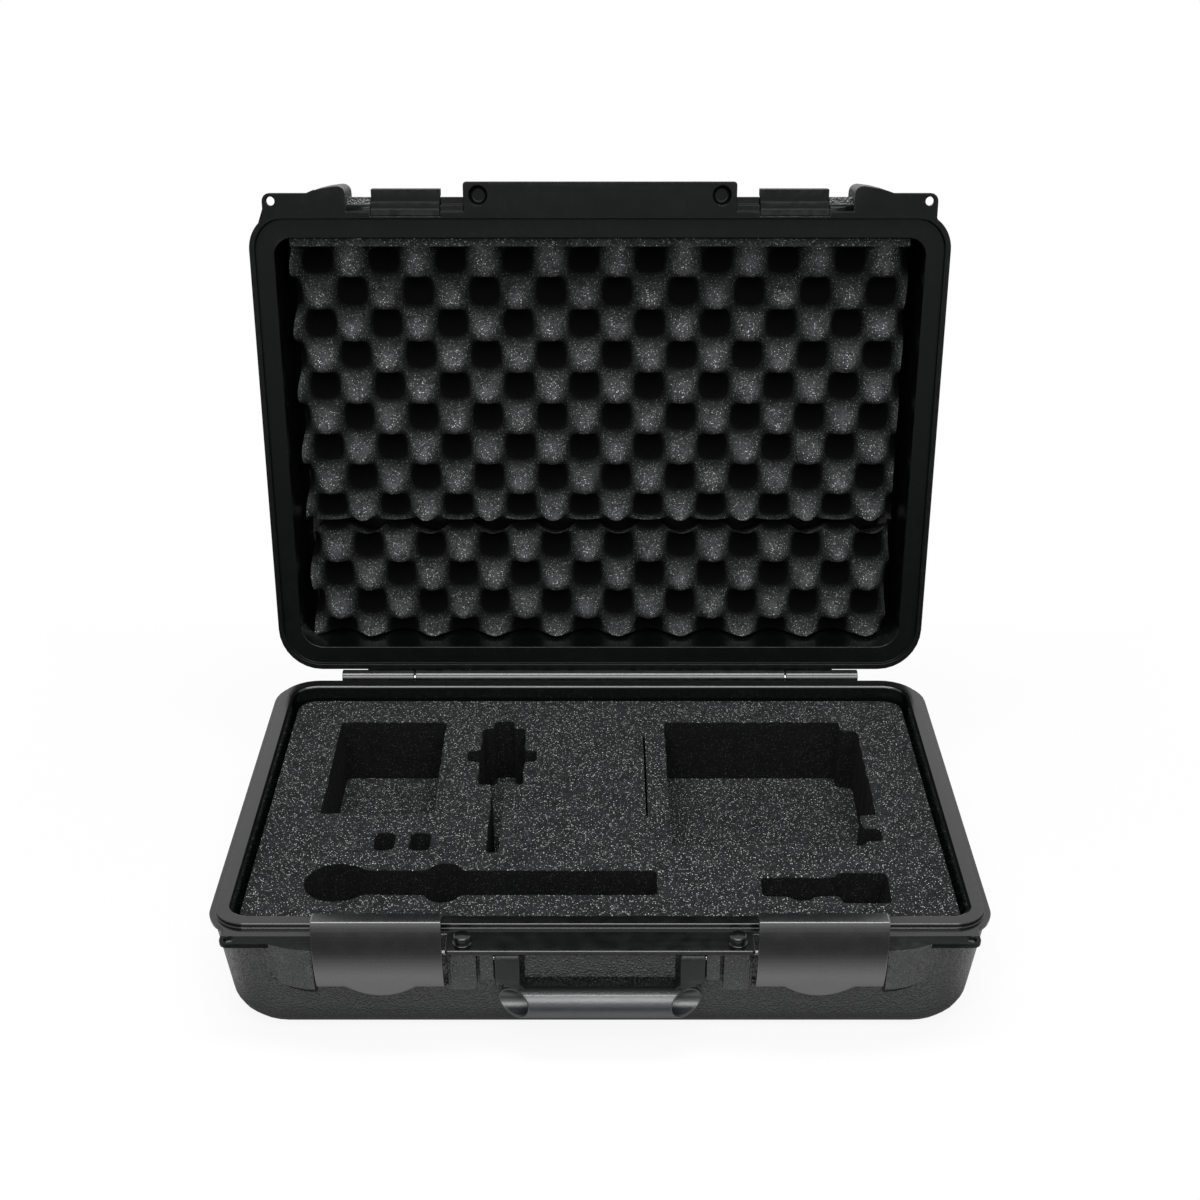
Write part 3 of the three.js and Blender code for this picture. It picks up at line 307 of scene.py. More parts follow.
def moulding(name, node, body, slot, edge_radius, *materials, left_sharp=None, parted_at=None):
    """The CAD solid as one skin: doubles merged, facets of one plane joined, and edges of 35 degrees or more
    rounded by a Bevel, apart from those whose middle the left_sharp test names. The faces on top of the rim
    that cross y = parted_at are split there."""
    skin = bmesh.new()
    skin.from_mesh(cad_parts[node].data)
    bmesh.ops.remove_doubles(skin, verts=skin.verts, dist=1e-4)
    bmesh.ops.dissolve_limit(skin, angle_limit=math.radians(0.06), verts=skin.verts, edges=skin.edges)
    if parted_at is not None:
        rim_top = [f for f in skin.faces if f.normal.z > 0.99 and f.calc_center_median().z > 0.079]
        bmesh.ops.bisect_plane(
            skin, geom=rim_top + skin.edges[:] + skin.verts[:],
            plane_co=(0, parted_at * 0.001, 0), plane_no=(0, 1, 0),
        )
    rounding = skin.edges.layers.float.new("bevel_weight_edge")
    skin.edges.ensure_lookup_table()
    middles = np.array([(edge.verts[0].co + edge.verts[1].co) * 500 for edge in skin.edges])
    kept = left_sharp(middles) if left_sharp else np.zeros(len(middles), bool)
    for edge, sharp in zip(skin.edges, kept):
        edge[rounding] = 0 if sharp or edge.calc_face_angle(0) < math.radians(35) else 1
    mesh = bpy.data.meshes.new(name)
    skin.to_mesh(mesh)
    skin.free()
    mesh.shade_smooth()
    mesh.set_sharp_from_angle(angle=math.radians(32))
    piece = placed(name, mesh, *materials)
    bevel = piece.modifiers.new("edge_radius", "BEVEL")
    bevel.width = edge_radius * 0.001
    bevel.segments = 2
    bevel.limit_method = "WEIGHT"
    bevel.use_clamp_overlap = False
    piece.modifiers.new("flat_faces_first", "WEIGHTED_NORMAL").keep_sharp = True
    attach(piece, body)
    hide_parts(node)
    return piece


def painted_where(piece, index, test):
    """Gives the faces whose centre and normal pass the test the material of that index."""
    mesh = piece.data
    centres = np.empty(len(mesh.polygons) * 3)
    normals = np.empty(len(mesh.polygons) * 3)
    mesh.polygons.foreach_get("center", centres)
    mesh.polygons.foreach_get("normal", normals)
    picked = test(centres.reshape(-1, 3) * 1000, normals.reshape(-1, 3))
    chosen = np.empty(len(mesh.polygons), np.int32)
    mesh.polygons.foreach_get("material_index", chosen)
    chosen[picked] = index
    mesh.polygons.foreach_set("material_index", chosen)


case_middle = np.array([0.0, 4, parting_height])
flange_low = parting_height - rim_depth - 0.1
plate_back = rim_front - 4.5
guard_inner, guard_outer, guard_back = 165, 206, -172


def inside_rim(at, normal):
    """Faces within the land that look to the middle of the case, the land itself and the flange's edge."""
    within = (np.abs(at[:, 0]) < half_width - land_width + 0.2) & (at[:, 1] < rim_back - land_width + 0.2)
    within &= (at[:, 1] > rim_front + land_width - 0.2) & (at[:, 2] > 8)
    within &= (normal * (case_middle - at)).sum(axis=1) > 0
    within |= (at[:, 1] > rim_back + 0.5) & (at[:, 2] > 60)
    guard_front = (np.abs(at[:, 0]) > guard_inner) & (np.abs(at[:, 0]) < guard_outer)
    guard_front &= (at[:, 1] < guard_back) & (normal[:, 2] < 0.5)
    return within | (at[:, 2] > flange_low) & ~guard_front


def under_base_flange(at):
    """The flange's lower edge, the guards with their upper edges, and the corner that runs in beside them."""
    low = (at[:, 2] < parting_height - rim_depth + 0.7) | (np.abs(at[:, 0]) < guard_outer)
    return low & (np.abs(at[:, 0]) > 170) & (at[:, 1] < np.where(at[:, 2] > parting_height - 1, -174, -150))


def on_guard(at, normal):
    """The flange's flat front part beside the latches, and the narrow lower faces of the guards."""
    low = (normal[:, 2] < -0.2) & (at[:, 2] > 45) & (at[:, 2] < 76) & (np.abs(at[:, 0]) < guard_outer)
    top = (at[:, 2] > flange_low) & ((normal[:, 2] > 0.5) | (np.abs(at[:, 0]) > guard_outer))
    return (low | top) & (np.abs(at[:, 0]) > guard_inner) & (at[:, 1] < plate_back)


base_skin = moulding(
    "base_moulding", "base_shell", "base", "shell", 0.5, grained_plastic, smooth_plastic, rim_plastic,
    left_sharp=under_base_flange, parted_at=plate_back,
)
painted_where(base_skin, 1, inside_rim)
painted_where(base_skin, 2, on_guard)
# The point of each guard's nose is eased back into the corner of the shell.
base_points = np.empty(len(base_skin.data.vertices) * 3)
base_skin.data.vertices.foreach_get("co", base_points)
base_points = base_points.reshape(-1, 3)
guard_nose = (np.abs(np.abs(base_points[:, 0]) - 0.209) < 0.004) & (np.abs(base_points[:, 2] - 0.056) < 0.004)
guard_nose &= np.abs(base_points[:, 1] + 0.174) < 0.0008
base_points[guard_nose, 1] = -0.1724
base_skin.data.vertices.foreach_set("co", base_points.reshape(-1))


# The lid shell: the same moulding process, with a recess in its rim for the base's tongue and a deep
# smooth liner. It is worked out closed and then opened about the hinge.
hinge_y, hinge_z = 178.1, 80
lid_open = math.radians(100)


def about_hinge(points, angle):
    """Points turned back about the hinge line by an angle, in the plane of y and z."""
    ahead = points[..., 1] - hinge_y
    above = points[..., 2] - hinge_z
    turned = np.array(points, float)
    turned[..., 1] = hinge_y + ahead * math.cos(angle) + above * math.sin(angle)
    turned[..., 2] = hinge_z - ahead * math.sin(angle) + above * math.cos(angle)
    return turned


def opened(points):
    """Points of the closed lid, carried to where the open lid stands."""
    return about_hinge(points, lid_open)


def closed(points):
    """Points of the open lid, carried to where the closed lid lies."""
    return about_hinge(points, -lid_open)


def inside_lid_rim(at, normal):
    """The lid's rim face, its recess and its liner, tested where they lie when the lid is closed."""
    shut = closed(at)
    within = (np.abs(shut[:, 0]) < half_width - land_width + 0.2) & (shut[:, 1] < rim_back - land_width + 0.2)
    within &= (shut[:, 1] > rim_front + land_width - 0.2) & (shut[:, 2] < 144)
    within &= (normal * (opened(case_middle) - at)).sum(axis=1) > 0
    within |= (shut[:, 1] > rim_back + 0.5) & (shut[:, 2] < 100)
    return within | (shut[:, 2] < parting_height + rim_depth + 0.1)


def on_lid_rim_face(at, normal):
    """Only the part of that which faces out of the rim, and the thin edge round it."""
    shut = closed(at)
    ledge = (shut[:, 2] < parting_height + 14) & (shut[:, 1] < rim_front - 3) & (np.abs(shut[:, 0]) < 105)
    return ledge | (shut[:, 2] < parting_height + 4.5) & (shut[:, 1] < rim_back + 0.5)


def under_lid_flange(at):
    """The same along the lid's guards, tested with the lid closed."""
    shut = closed(at)
    low = np.abs(shut[:, 2] - parting_height - rim_depth) < 0.7
    return low & (np.abs(shut[:, 0]) > 170) & (shut[:, 1] < -165)


lid_skin = moulding(
    "lid_moulding", "lid_shell", "lid", "shell", 0.5, grained_plastic, smooth_plastic, rim_plastic,
    left_sharp=under_lid_flange,
)
painted_where(lid_skin, 1, inside_lid_rim)
painted_where(lid_skin, 2, on_lid_rim_face)


# Small metal parts: the hinge rod and the latch and handle pins are drawn steel wire, cut to length.
# They keep their CAD shape and get a drawn, slightly streaky finish.
steel, steel_nodes, steel_links, steel_shader = new_finish("drawn_steel", (0.5, 0.5, 0.51), 0.32)
steel_shader.inputs["Metallic"].default_value = 1
steel_place = steel_nodes.new("ShaderNodeTexCoord").outputs["Object"]
steel_marks = texture(steel.node_tree, "ShaderNodeTexNoise", steel_place, 900, Detail=3.0)
steel_links.new(
    remap(steel.node_tree, steel_marks.outputs["Fac"], 0.3, 0.7, 0.25, 0.42), steel_shader.inputs["Roughness"],
)
for node_name in ("hinge_pin", "handle_pin_left", "handle_pin_right", "latch_base_pin_left",
                  "latch_base_pin_right", "latch_lever_pin_left", "latch_lever_pin_right"):
    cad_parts[node_name].data.materials.clear()
    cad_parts[node_name].data.materials.append(steel)


# Snap posts: glossy black turned studs pressed into the handle ledge, one outside each arm of the handle.
# The lid's dishes close over their heads.
def ringed(grid, looped=False):
    """Points and faces of rings stacked in rows. Each ring closes on itself. The last row meets the first
    if looped, and otherwise one face closes each end. Faces turn outwards: the sum of a . (b x c) is
    positive."""
    rows, count = grid.shape[:2]
    number = np.arange(rows * count).reshape(rows, count)
    below = number if looped else number[:-1]
    above = np.roll(number, -1, axis=0) if looped else number[1:]
    quads = np.stack([below, np.roll(below, -1, axis=1), np.roll(above, -1, axis=1), above], axis=-1)
    quads = quads.reshape(-1, 4)
    points = grid.reshape(-1, 3)
    a, b, c, d = (points[quads[:, k]] for k in range(4))
    volume = (a * np.cross(b, c)).sum() + (a * np.cross(c, d)).sum()
    faces = quads.tolist()
    if not looped:
        faces += [number[0, ::-1].tolist(), number[-1].tolist()]
        for ring, turn in ((grid[0], -1), (grid[-1], 1)):
            fan = np.cross(ring[1:-1], ring[2:])
            volume += turn * (ring[0] * fan).sum()
    return points, faces if volume > 0 else [face[::-1] for face in faces]


def made_of(name, body, slot, replaced, parts, *materials, crease=40):
    """One piece from several closed parts, smooth except at edges sharper than the crease angle."""
    points, faces, first = [], [], 0
    for part_points, part_faces in parts:
        points.append(part_points)
        faces += [[corner + first for corner in face] for face in part_faces]
        first += len(part_points)
    mesh = bpy.data.meshes.new(name)
    mesh.from_pydata((np.vstack(points) * 0.001).tolist(), [], faces)
    mesh.shade_smooth()
    mesh.set_sharp_from_angle(angle=math.radians(crease))
    piece = placed(name, mesh, *materials)
    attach(piece, body)
    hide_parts(replaced)
    return piece


def turned_round(profile, x, y, z, count=40):
    """A turned solid on an upright axis: each [radius, height] of the profile swept round a full circle."""
    turn = np.linspace(0, 2 * math.pi, count, endpoint=False)
    radius, height = np.array(profile, float).T[:, :, None]
    return np.stack(np.broadcast_arrays(
        x + radius * np.cos(turn), y + radius * np.sin(turn), z + height,
    ), axis=-1)


gloss_plastic = moulded_finish(
    "gloss_plastic", color=(0.004, 0.0043, 0.0043), worn_color=(0.03, 0.031, 0.031),
    roughness=0.14, gloss=0.5, grain_scale=1500, grain_depth=0.000006,
)
post_x, post_y = 86, -175
quarter = np.linspace(0, math.pi / 2, 7)
post_profile = [
    (0.05, -9), (3.4, -9), (3.4, 0.3), (5.7, 0.3), (5.95, 0.5), (5.95, 0.75), (5.7, 0.9), (4.7, 1.0),
    (4.55, 1.3), (4.55, 2.1), (5.2, 2.6), (5.5, 3.2),
    *zip(4.3 + 1.2 * np.cos(quarter), 5.1 + 1.2 * np.sin(quarter)),
    (2.6, 6.42), (0.05, 6.5),
]
for side, name in ((-1, "left"), (1, "right")):
    made_of(
        f"post_{name}", "base", "fitting", f"snap_post_{name}",
        [ringed(turned_round(post_profile, side * post_x, post_y, parting_height))], gloss_plastic,
    )


# Draw latches. Each is a pressed satin lever with a hook lip along its top and a thumb tab at its foot, on
# two ribs that turn about a steel wire in the link. The link turns about a second wire in the base.
def softened(path, radius, steps=4):
    """A closed path with every corner p cut back by the radius to a and b and bent round between them:
    (1-t)^2 a + 2t(1-t) p + t^2 b."""
    before = np.roll(path, 1, axis=0) - path
    after = np.roll(path, -1, axis=0) - path
    span_before = np.hypot(*before.T)[:, None]
    span_after = np.hypot(*after.T)[:, None]
    a = path + before / span_before * np.minimum(radius, span_before * 0.45)
    b = path + after / span_after * np.minimum(radius, span_after * 0.45)
    t = np.linspace(0, 1, steps + 1)[None, :, None]
    bent = (1 - t) ** 2 * a[:, None] + 2 * t * (1 - t) * path[:, None] + t ** 2 * b[:, None]
    return bent.reshape(-1, 2)


def across(outline, x0, x1, edge=0.4):
    """Rings of a side outline [y, z] carried across the width, drawn in a little at both ends."""
    steps = [(edge, 0), (edge * 0.3, edge * 0.3), (0, edge)]
    stations = [(inset, x0 + run) for inset, run in steps] + [(inset, x1 - run) for inset, run in steps[::-1]]
    inward = inward_from(outline)
    rings = []
    for inset, x in stations:
        flat = outline + inward * inset
        rings.append(np.column_stack([np.full(len(flat), x), flat]))
    return np.array(rings)


def is_anticlockwise(ring):
    """Whether the signed area of a closed outline, half the sum of x1 y2 - x2 y1, is positive."""
    ahead = np.roll(ring, -1, axis=0)
    return (ring[:, 0] * ahead[:, 1] - ahead[:, 0] * ring[:, 1]).sum() > 0


def outward(ring):
    """Unit normals of a closed outline that runs anticlockwise, turned away from its inside."""
    along = np.roll(ring, -1, axis=0) - np.roll(ring, 1, axis=0)
    normal = np.stack([along[:, 1], -along[:, 0]], axis=1)
    return normal / np.maximum(np.hypot(*normal.T), 1e-9)[:, None]


def inward_from(ring):
    """Unit normals of a closed outline turned to its inside, whichever way it runs."""
    return -outward(ring) * (1 if is_anticlockwise(ring) else -1)


latch_satin = moulded_finish(
    "latch_satin", color=(0.008, 0.0083, 0.009), worn_color=(0.08, 0.082, 0.087),
    roughness=0.26, gloss=0.9, grain_scale=1400, grain_depth=0.000006, lacquer=0.8,
)
latch_x, latch_half = 137.8, 40.15
latch_face, latch_head, latch_foot = -185, 103, 53
latch_bulge, latch_wall = 4.6, 2.6
lip_length, lip_fall, lip_wall = 11.8, 1.4, 2.4
tab_half, tab_drop = 22, 7
lever_pin, base_pin = (-171.5, 58), (-175, 72.5)
link_half, link_radius = 27, 3.4


def latch_bow(z, inset=0):
    """Front of the lever at a height: an arc through its head and foot that stands proud by the bulge."""
    rise = (latch_head - latch_foot) / 2
    radius = (rise ** 2 + latch_bulge ** 2) / (2 * latch_bulge)
    return latch_face - (np.sqrt((radius - inset) ** 2 - (z - latch_foot - rise) ** 2) - (radius - latch_bulge))


def lever_skin(x):
    """The lever's section carried across x. Its lowest part is drawn down by the tab's arc,
    tab_drop (1 - (x / tab_half)^2), with a weight that grows from 0 well above the foot to 1 at the foot."""
    heights = np.linspace(latch_head, latch_foot + 0.3, 17)
    inner = heights[heights < latch_head - lip_wall][::-1]
    tip = latch_face + lip_length
    section = np.vstack([
        np.column_stack([latch_bow(heights), heights]),
        [[latch_face + 0.8, latch_foot - 0.4], [latch_face + latch_wall - 0.5, latch_foot - 0.2]],
        np.column_stack([latch_bow(inner, latch_wall), inner]),
        [[tip, latch_head - lip_fall - lip_wall], [tip, latch_head - lip_fall]],
    ])
    section = softened(section, 0.7, 3)
    inward = inward_from(section)
    ends = np.array([(0.5, 0), (0.15, 0.15), (0, 0.5)])
    middle = np.linspace(-latch_half + 1, latch_half - 1, 61)
    stations = np.vstack([
        np.column_stack([ends[:, 0], ends[:, 1] - latch_half]),
        np.column_stack([np.zeros(len(middle)), middle]),
        np.column_stack([ends[::-1, 0], latch_half - ends[::-1, 1]]),
    ])
    flat = section[None] + inward[None] * stations[:, 0, None, None]
    drop = tab_drop * np.clip(1 - (stations[:, 1] / tab_half) ** 2, 0, None)
    weight = np.clip((latch_foot + 9 - flat[..., 1]) / 9, 0, 1) ** 2
    z = flat[..., 1] - drop[:, None] * weight
    run = np.broadcast_to((x + stations[:, 1])[:, None], z.shape)
    return np.stack([run, flat[..., 0], z], axis=-1)


def eye_round(pin, turn):
    """Points [y, z] at the angles of turn on the circle of an eye about a wire."""
    return np.column_stack([pin[0] + link_radius * np.cos(turn), pin[1] + link_radius * np.sin(turn)])


def rib_outline():
    """Side outline of a rib: from the lever's back down to a round eye about the lever's wire."""
    root = [[latch_bow(72, 1.3), 72], [latch_bow(55, 1.3), 55]]
    return softened(np.vstack([root, eye_round(lever_pin, np.radians(np.linspace(-80, 100, 9)))]), 0.4, 2)


def link_outline():
    """Side outline of the link: two round eyes, one about each wire, joined by straight sides."""
    tilt = math.atan2(base_pin[1] - lever_pin[1], base_pin[0] - lever_pin[0])
    turn = np.linspace(-math.pi / 2, math.pi / 2, 13)
    return np.vstack([eye_round(base_pin, turn + tilt), eye_round(lever_pin, turn + (tilt + math.pi))])


for side, name in ((-1, "left"), (1, "right")):
    x = side * latch_x
    ribs = [ringed(across(rib_outline(), *sorted((x + end * 27.6, x + end * 30.6)))) for end in (-1, 1)]
    made_of(
        f"latch_plate_{name}", f"latch_{name}_lever", "latch", f"latch_lever_{name}",
        [ringed(lever_skin(x)), *ribs], latch_satin,
    )
    made_of(
        f"latch_bail_{name}", f"latch_{name}_link", "latch", f"latch_link_{name}",
        [ringed(across(link_outline(), x - link_half, x + link_half))], gloss_plastic,
    )
    moulding(f"catch_{name}", f"lid_catch_{name}", "lid", "fitting", 0.4, rim_plastic)


# The carrying handle: a satin tube whose ends are cut on a slant, on two flat arms that hang from steel pins
# in the front webs. It is moulded in one piece.
handle_satin = moulded_finish(
    "handle_satin", color=(0.012, 0.0142, 0.0155), worn_color=(0.06, 0.061, 0.064),
    roughness=0.34, gloss=0.9, grain_scale=900, grain_depth=0.00004,
)
arm_dull = moulded_finish(
    "arm_dull", color=(0.01, 0.0105, 0.011), worn_color=(0.04, 0.041, 0.043),
    roughness=0.42, gloss=0.35, grain_scale=620, grain_depth=0.0001,
)
grip_y, grip_z, grip_radius, grip_wall = -183, 39.3, 10.2, 2.6
grip_half, grip_slant, grip_slant_angle = 55, 9.7, math.radians(-13)
arm_y, arm_foot, arm_pin_z, arm_boss = -179, 41.9, 71.8, 4.4
arm_inner, arm_outer, arm_flare = 50, 66, 4


def grip_tube():
    """A tube along x. At an angle t round it, each end reaches half + slant cos(t - slant angle). The wall's
    section rolls from the outer radius over a rounded rim to the inner radius and back along the bore."""
    turn = np.linspace(0, 2 * math.pi, 72, endpoint=False)
    reach = grip_half + grip_slant * np.cos(turn - grip_slant_angle)
    inner = grip_radius - grip_wall
    rim = np.array([
        (grip_radius, 1.2), (grip_radius - 0.12, 0.5), (grip_radius - 0.5, 0.12), (grip_radius - 1.0, 0),
        (inner + 0.8, 0), (inner + 0.35, 0.15), (inner + 0.08, 0.6), (inner, 1.3),
    ])
    rings = []
    for side, profile in ((1, rim), (-1, rim[::-1])):
        for radius, setback in profile:
            rings.append(np.stack([
                side * (reach - setback), grip_y + radius * np.cos(turn), grip_z + radius * np.sin(turn),
            ], axis=-1))
    return np.array(rings)


def arm_stack(side):
    """Rounded rectangles stacked up the arm. Its lower end shifts inwards to the grip with a smooth step,
    and its upper end is a half round boss: depth is the root of boss squared less height squared. It ends on
    the tube's wall, and its outer side follows the slant of the tube's end, then leans away from it."""
    rise = np.concatenate([
        np.linspace(arm_foot, arm_pin_z, 25), arm_pin_z + arm_boss * np.sin(np.linspace(0.15, 1.52, 10)),
    ])
    boss_depth = np.sqrt(np.clip(arm_boss ** 2 - (rise - arm_pin_z) ** 2, 0.02, None))
    depth = np.where(rise > arm_pin_z, boss_depth, arm_boss)
    step = np.clip((53.5 - rise) / 6, 0, 1)
    shift = arm_flare * step * step * (3 - 2 * step)
    half = (arm_outer - arm_inner) / 2
    corner = np.array([(1, 1), (-1, 1), (-1, -1), (1, -1)], float)
    square = softened(corner, 0.16, 4)
    x = side * ((arm_outer + arm_inner) / 2 - shift)[:, None] + half * square[None, :, 0]
    y = arm_y + depth[:, None] * softened(corner, 0.5, 4)[None, :, 1]
    off_axis = np.clip((grip_radius - 0.8) ** 2 - (y - grip_y) ** 2, 0, None)
    z = np.maximum(rise[:, None], grip_z + np.sqrt(off_axis))
    slant = grip_slant * (
        (y - grip_y) * math.cos(grip_slant_angle) + (z - grip_z) * math.sin(grip_slant_angle)
    ) / grip_radius
    limit = grip_half + slant + 2.2 * np.clip(z - grip_z - grip_radius, 0, None)
    x = side * np.minimum(x * side, np.maximum(limit, grip_half - 9))
    return np.stack([x, y, z], axis=-1)


carry_handle = made_of(
    "carry_handle", "handle", "grip", "handle",
    [ringed(grip_tube(), looped=True), ringed(arm_stack(-1)), ringed(arm_stack(1))], handle_satin, arm_dull,
)
painted_where(carry_handle, 1, lambda at, normal: at[:, 2] > grip_z + grip_radius - 1)


# Foam tray: a charcoal open-cell foam block with pockets cut right through it. A knife leaves its walls
# slightly wavy, and its upper edges are a little rounded. It lies on a plain foam pad, which is the floor
# of every pocket.
open_cell, open_cell_in, open_cell_out = effect(
    "open_cell_foam",
    [("Vector", "NodeSocketVector", None), ("Scale", "NodeSocketFloat", 900.0)],
    [("Height", "NodeSocketFloat"), ("Sparkle", "NodeSocketFloat"), ("Tone", "NodeSocketFloat")],
)
foam_cells = texture(
    open_cell, "ShaderNodeTexVoronoi", open_cell_in.outputs["Vector"], open_cell_in.outputs["Scale"],
)
foam_glints = texture(
    open_cell, "ShaderNodeTexVoronoi", open_cell_in.outputs["Vector"],
    math_node(open_cell, "MULTIPLY", open_cell_in.outputs["Scale"], 0.85),
)
foam_split = open_cell.nodes.new("ShaderNodeSeparateColor")
open_cell.links.new(foam_glints.outputs["Color"], foam_split.inputs["Color"])
foam_clouds = texture(open_cell, "ShaderNodeTexNoise", open_cell_in.outputs["Vector"], 90, Detail=2.0)
foam_speckle = texture(open_cell, "ShaderNodeTexNoise", open_cell_in.outputs["Vector"], 700, Detail=2.0)
foam_height = remap(open_cell, foam_cells.outputs["Distance"], 0, 0.7, 0, 1)
open_cell.links.new(foam_height, open_cell_out.inputs["Height"])
foam_rare = remap(open_cell, foam_split.outputs["Red"], 0.6, 1.0, 0, 1)
open_cell.links.new(
    math_node(
        open_cell, "MULTIPLY",
        math_node(open_cell, "POWER", foam_rare, 1.6),
        remap(open_cell, foam_glints.outputs["Distance"], 0.2, 0.45, 1, 0),
    ),
    open_cell_out.inputs["Sparkle"],
)
open_cell.links.new(
    math_node(
        open_cell, "ADD",
        remap(open_cell, foam_clouds.outputs["Fac"], 0.35, 0.65, 0, 0.4),
        remap(open_cell, foam_speckle.outputs["Fac"], 0.35, 0.65, 0, 0.6),
    ),
    open_cell_out.inputs["Tone"],
)


def foam_finish(name, dark, pale, sparkle, painted_dip_shade=False):
    """Open-cell foam: dark cells that vary in tone, with bright glints where cell walls catch the light. If
    asked, painted shade darkens it towards black with the depth in the mesh's dip attribute.
    """
    material, nodes, links, shader = new_finish(name, dark, 0.95)
    place = nodes.new("ShaderNodeTexCoord").outputs["Object"]
    cells = grouped(nodes, links, open_cell, place, Scale=1200.0)
    tone = nodes.new("ShaderNodeMix")
    tone.data_type = "RGBA"
    tone.inputs["A"].default_value = (*dark, 1)
    tone.inputs["B"].default_value = (*pale, 1)
    links.new(cells.outputs["Tone"], tone.inputs["Factor"])
    glint = nodes.new("ShaderNodeMix")
    glint.data_type = "RGBA"
    glint.inputs["B"].default_value = (*sparkle, 1)
    links.new(tone.outputs["Result"], glint.inputs["A"])
    links.new(cells.outputs["Sparkle"], glint.inputs["Factor"])
    links.new(glint.outputs["Result"], shader.inputs["Base Color"])
    shader.inputs["Specular IOR Level"].default_value = 0.1
    bumped(nodes, links, shader, cells.outputs["Height"], 0.0006)
    if not painted_dip_shade:
        return material
    # Painted shade: the deeper a point lies in a dip, the nearer its colour is to black.
    depth = nodes.new("ShaderNodeAttribute")
    depth.attribute_name = "dip"
    shade = nodes.new("ShaderNodeMix")
    shade.data_type = "RGBA"
    shade.inputs["B"].default_value = (*[c * 0.03 for c in dark], 1)
    links.new(remap(material.node_tree, depth.outputs["Fac"], 0.06, 0.63, 0, 1), shade.inputs["Factor"])
    links.new(glint.outputs["Result"], shade.inputs["A"])
    links.new(shade.outputs["Result"], shader.inputs["Base Color"])
    return material


charcoal_foam = foam_finish(
    "charcoal_foam", dark=(0.008, 0.0095, 0.0095), pale=(0.028, 0.032, 0.032), sparkle=(1.0, 1.0, 1.0),
)
# Painted shade: the same foam much darker and nearly without glints, put on the upright walls of the pockets.
pocket_wall_shade_foam = foam_finish(
    "pocket_wall_shade_foam", dark=(0.0025, 0.003, 0.0027), pale=(0.007, 0.008, 0.007), sparkle=(0.08, 0.085, 0.085),
)


def cut_lines(node, height):
    """The closed outlines, in millimetres, of a CAD node's flat face at a height. Corners that lie within a
    fiftieth of a millimetre are one. An edge is part of an outline if only one triangle of that face uses it,
    and the edges are followed round."""
    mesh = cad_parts[node].data
    points = np.array([v.co for v in mesh.vertices]) * 1000
    keys = np.round(points * 50).astype(int)
    _, first, same = np.unique(keys, axis=0, return_index=True, return_inverse=True)
    same = first[same.reshape(-1)]
    corners = same[np.array([p.vertices for p in mesh.polygons])]
    level = np.all(np.abs(points[corners][..., 2] - height) < 0.05, axis=1)
    edges = {}
    for a, b, c in corners[level]:
        for pair in ((a, b), (b, c), (c, a)):
            if pair[::-1] in edges:
                edges.pop(pair[::-1])
            else:
                edges[pair] = True
    follow = dict(edges.keys())
    outlines = []
    while follow:
        start, at = follow.popitem()
        ring = [start]
        while at != start:
            ring.append(at)
            at = follow.pop(at)
        outlines.append(points[ring][:, :2])
    return sorted(outlines, key=lambda ring: -np.ptp(ring[:, 0]) * np.ptp(ring[:, 1]))


def resampled(ring, step, passes=4):
    """A closed outline walked at an even step, then softened at its corners: in each pass a point becomes
    half of itself and a quarter of both its neighbours."""
    ahead = np.roll(ring, -1, axis=0) - ring
    lengths = np.hypot(*ahead.T)
    walked = np.concatenate([[0], np.cumsum(lengths)])
    count = max(12, int(round(walked[-1] / step)))
    stops = np.linspace(0, walked[-1], count, endpoint=False)
    shut = np.vstack([ring, ring[:1]])
    line = np.stack([np.interp(stops, walked, shut[:, k]) for k in range(2)], axis=1)
    for _ in range(passes):
        line = (np.roll(line, 1, axis=0) + 2 * line + np.roll(line, -1, axis=0)) / 4
    return line


def ring_walls(rings, first):
    """Quads between rings of equal count stacked in order, numbered from first."""
    rows, count = rings
    start = np.arange(rows - 1)[:, None] * count
    here = np.arange(count)[None, :]
    after = (here + 1) % count
    quads = np.stack([start + here, start + after, start + count + after, start + count + here], axis=-1)
    return quads.reshape(-1, 4) + first


def inside_ring(points, ring):
    """Whether points lie in a closed outline: a line to the right crosses it an odd number of times."""
    a, b = ring, np.roll(ring, -1, axis=0)
    x, y = points[:, 0:1], points[:, 1:2]
    spans = (a[None, :, 1] > y) != (b[None, :, 1] > y)
    with np.errstate(divide="ignore", invalid="ignore"):
        lean = (b[None, :, 0] - a[None, :, 0]) / (b[None, :, 1] - a[None, :, 1])
        cross = a[None, :, 0] + (y - a[None, :, 1]) * lean
    return (spans & (x < cross)).sum(axis=1) % 2 == 1


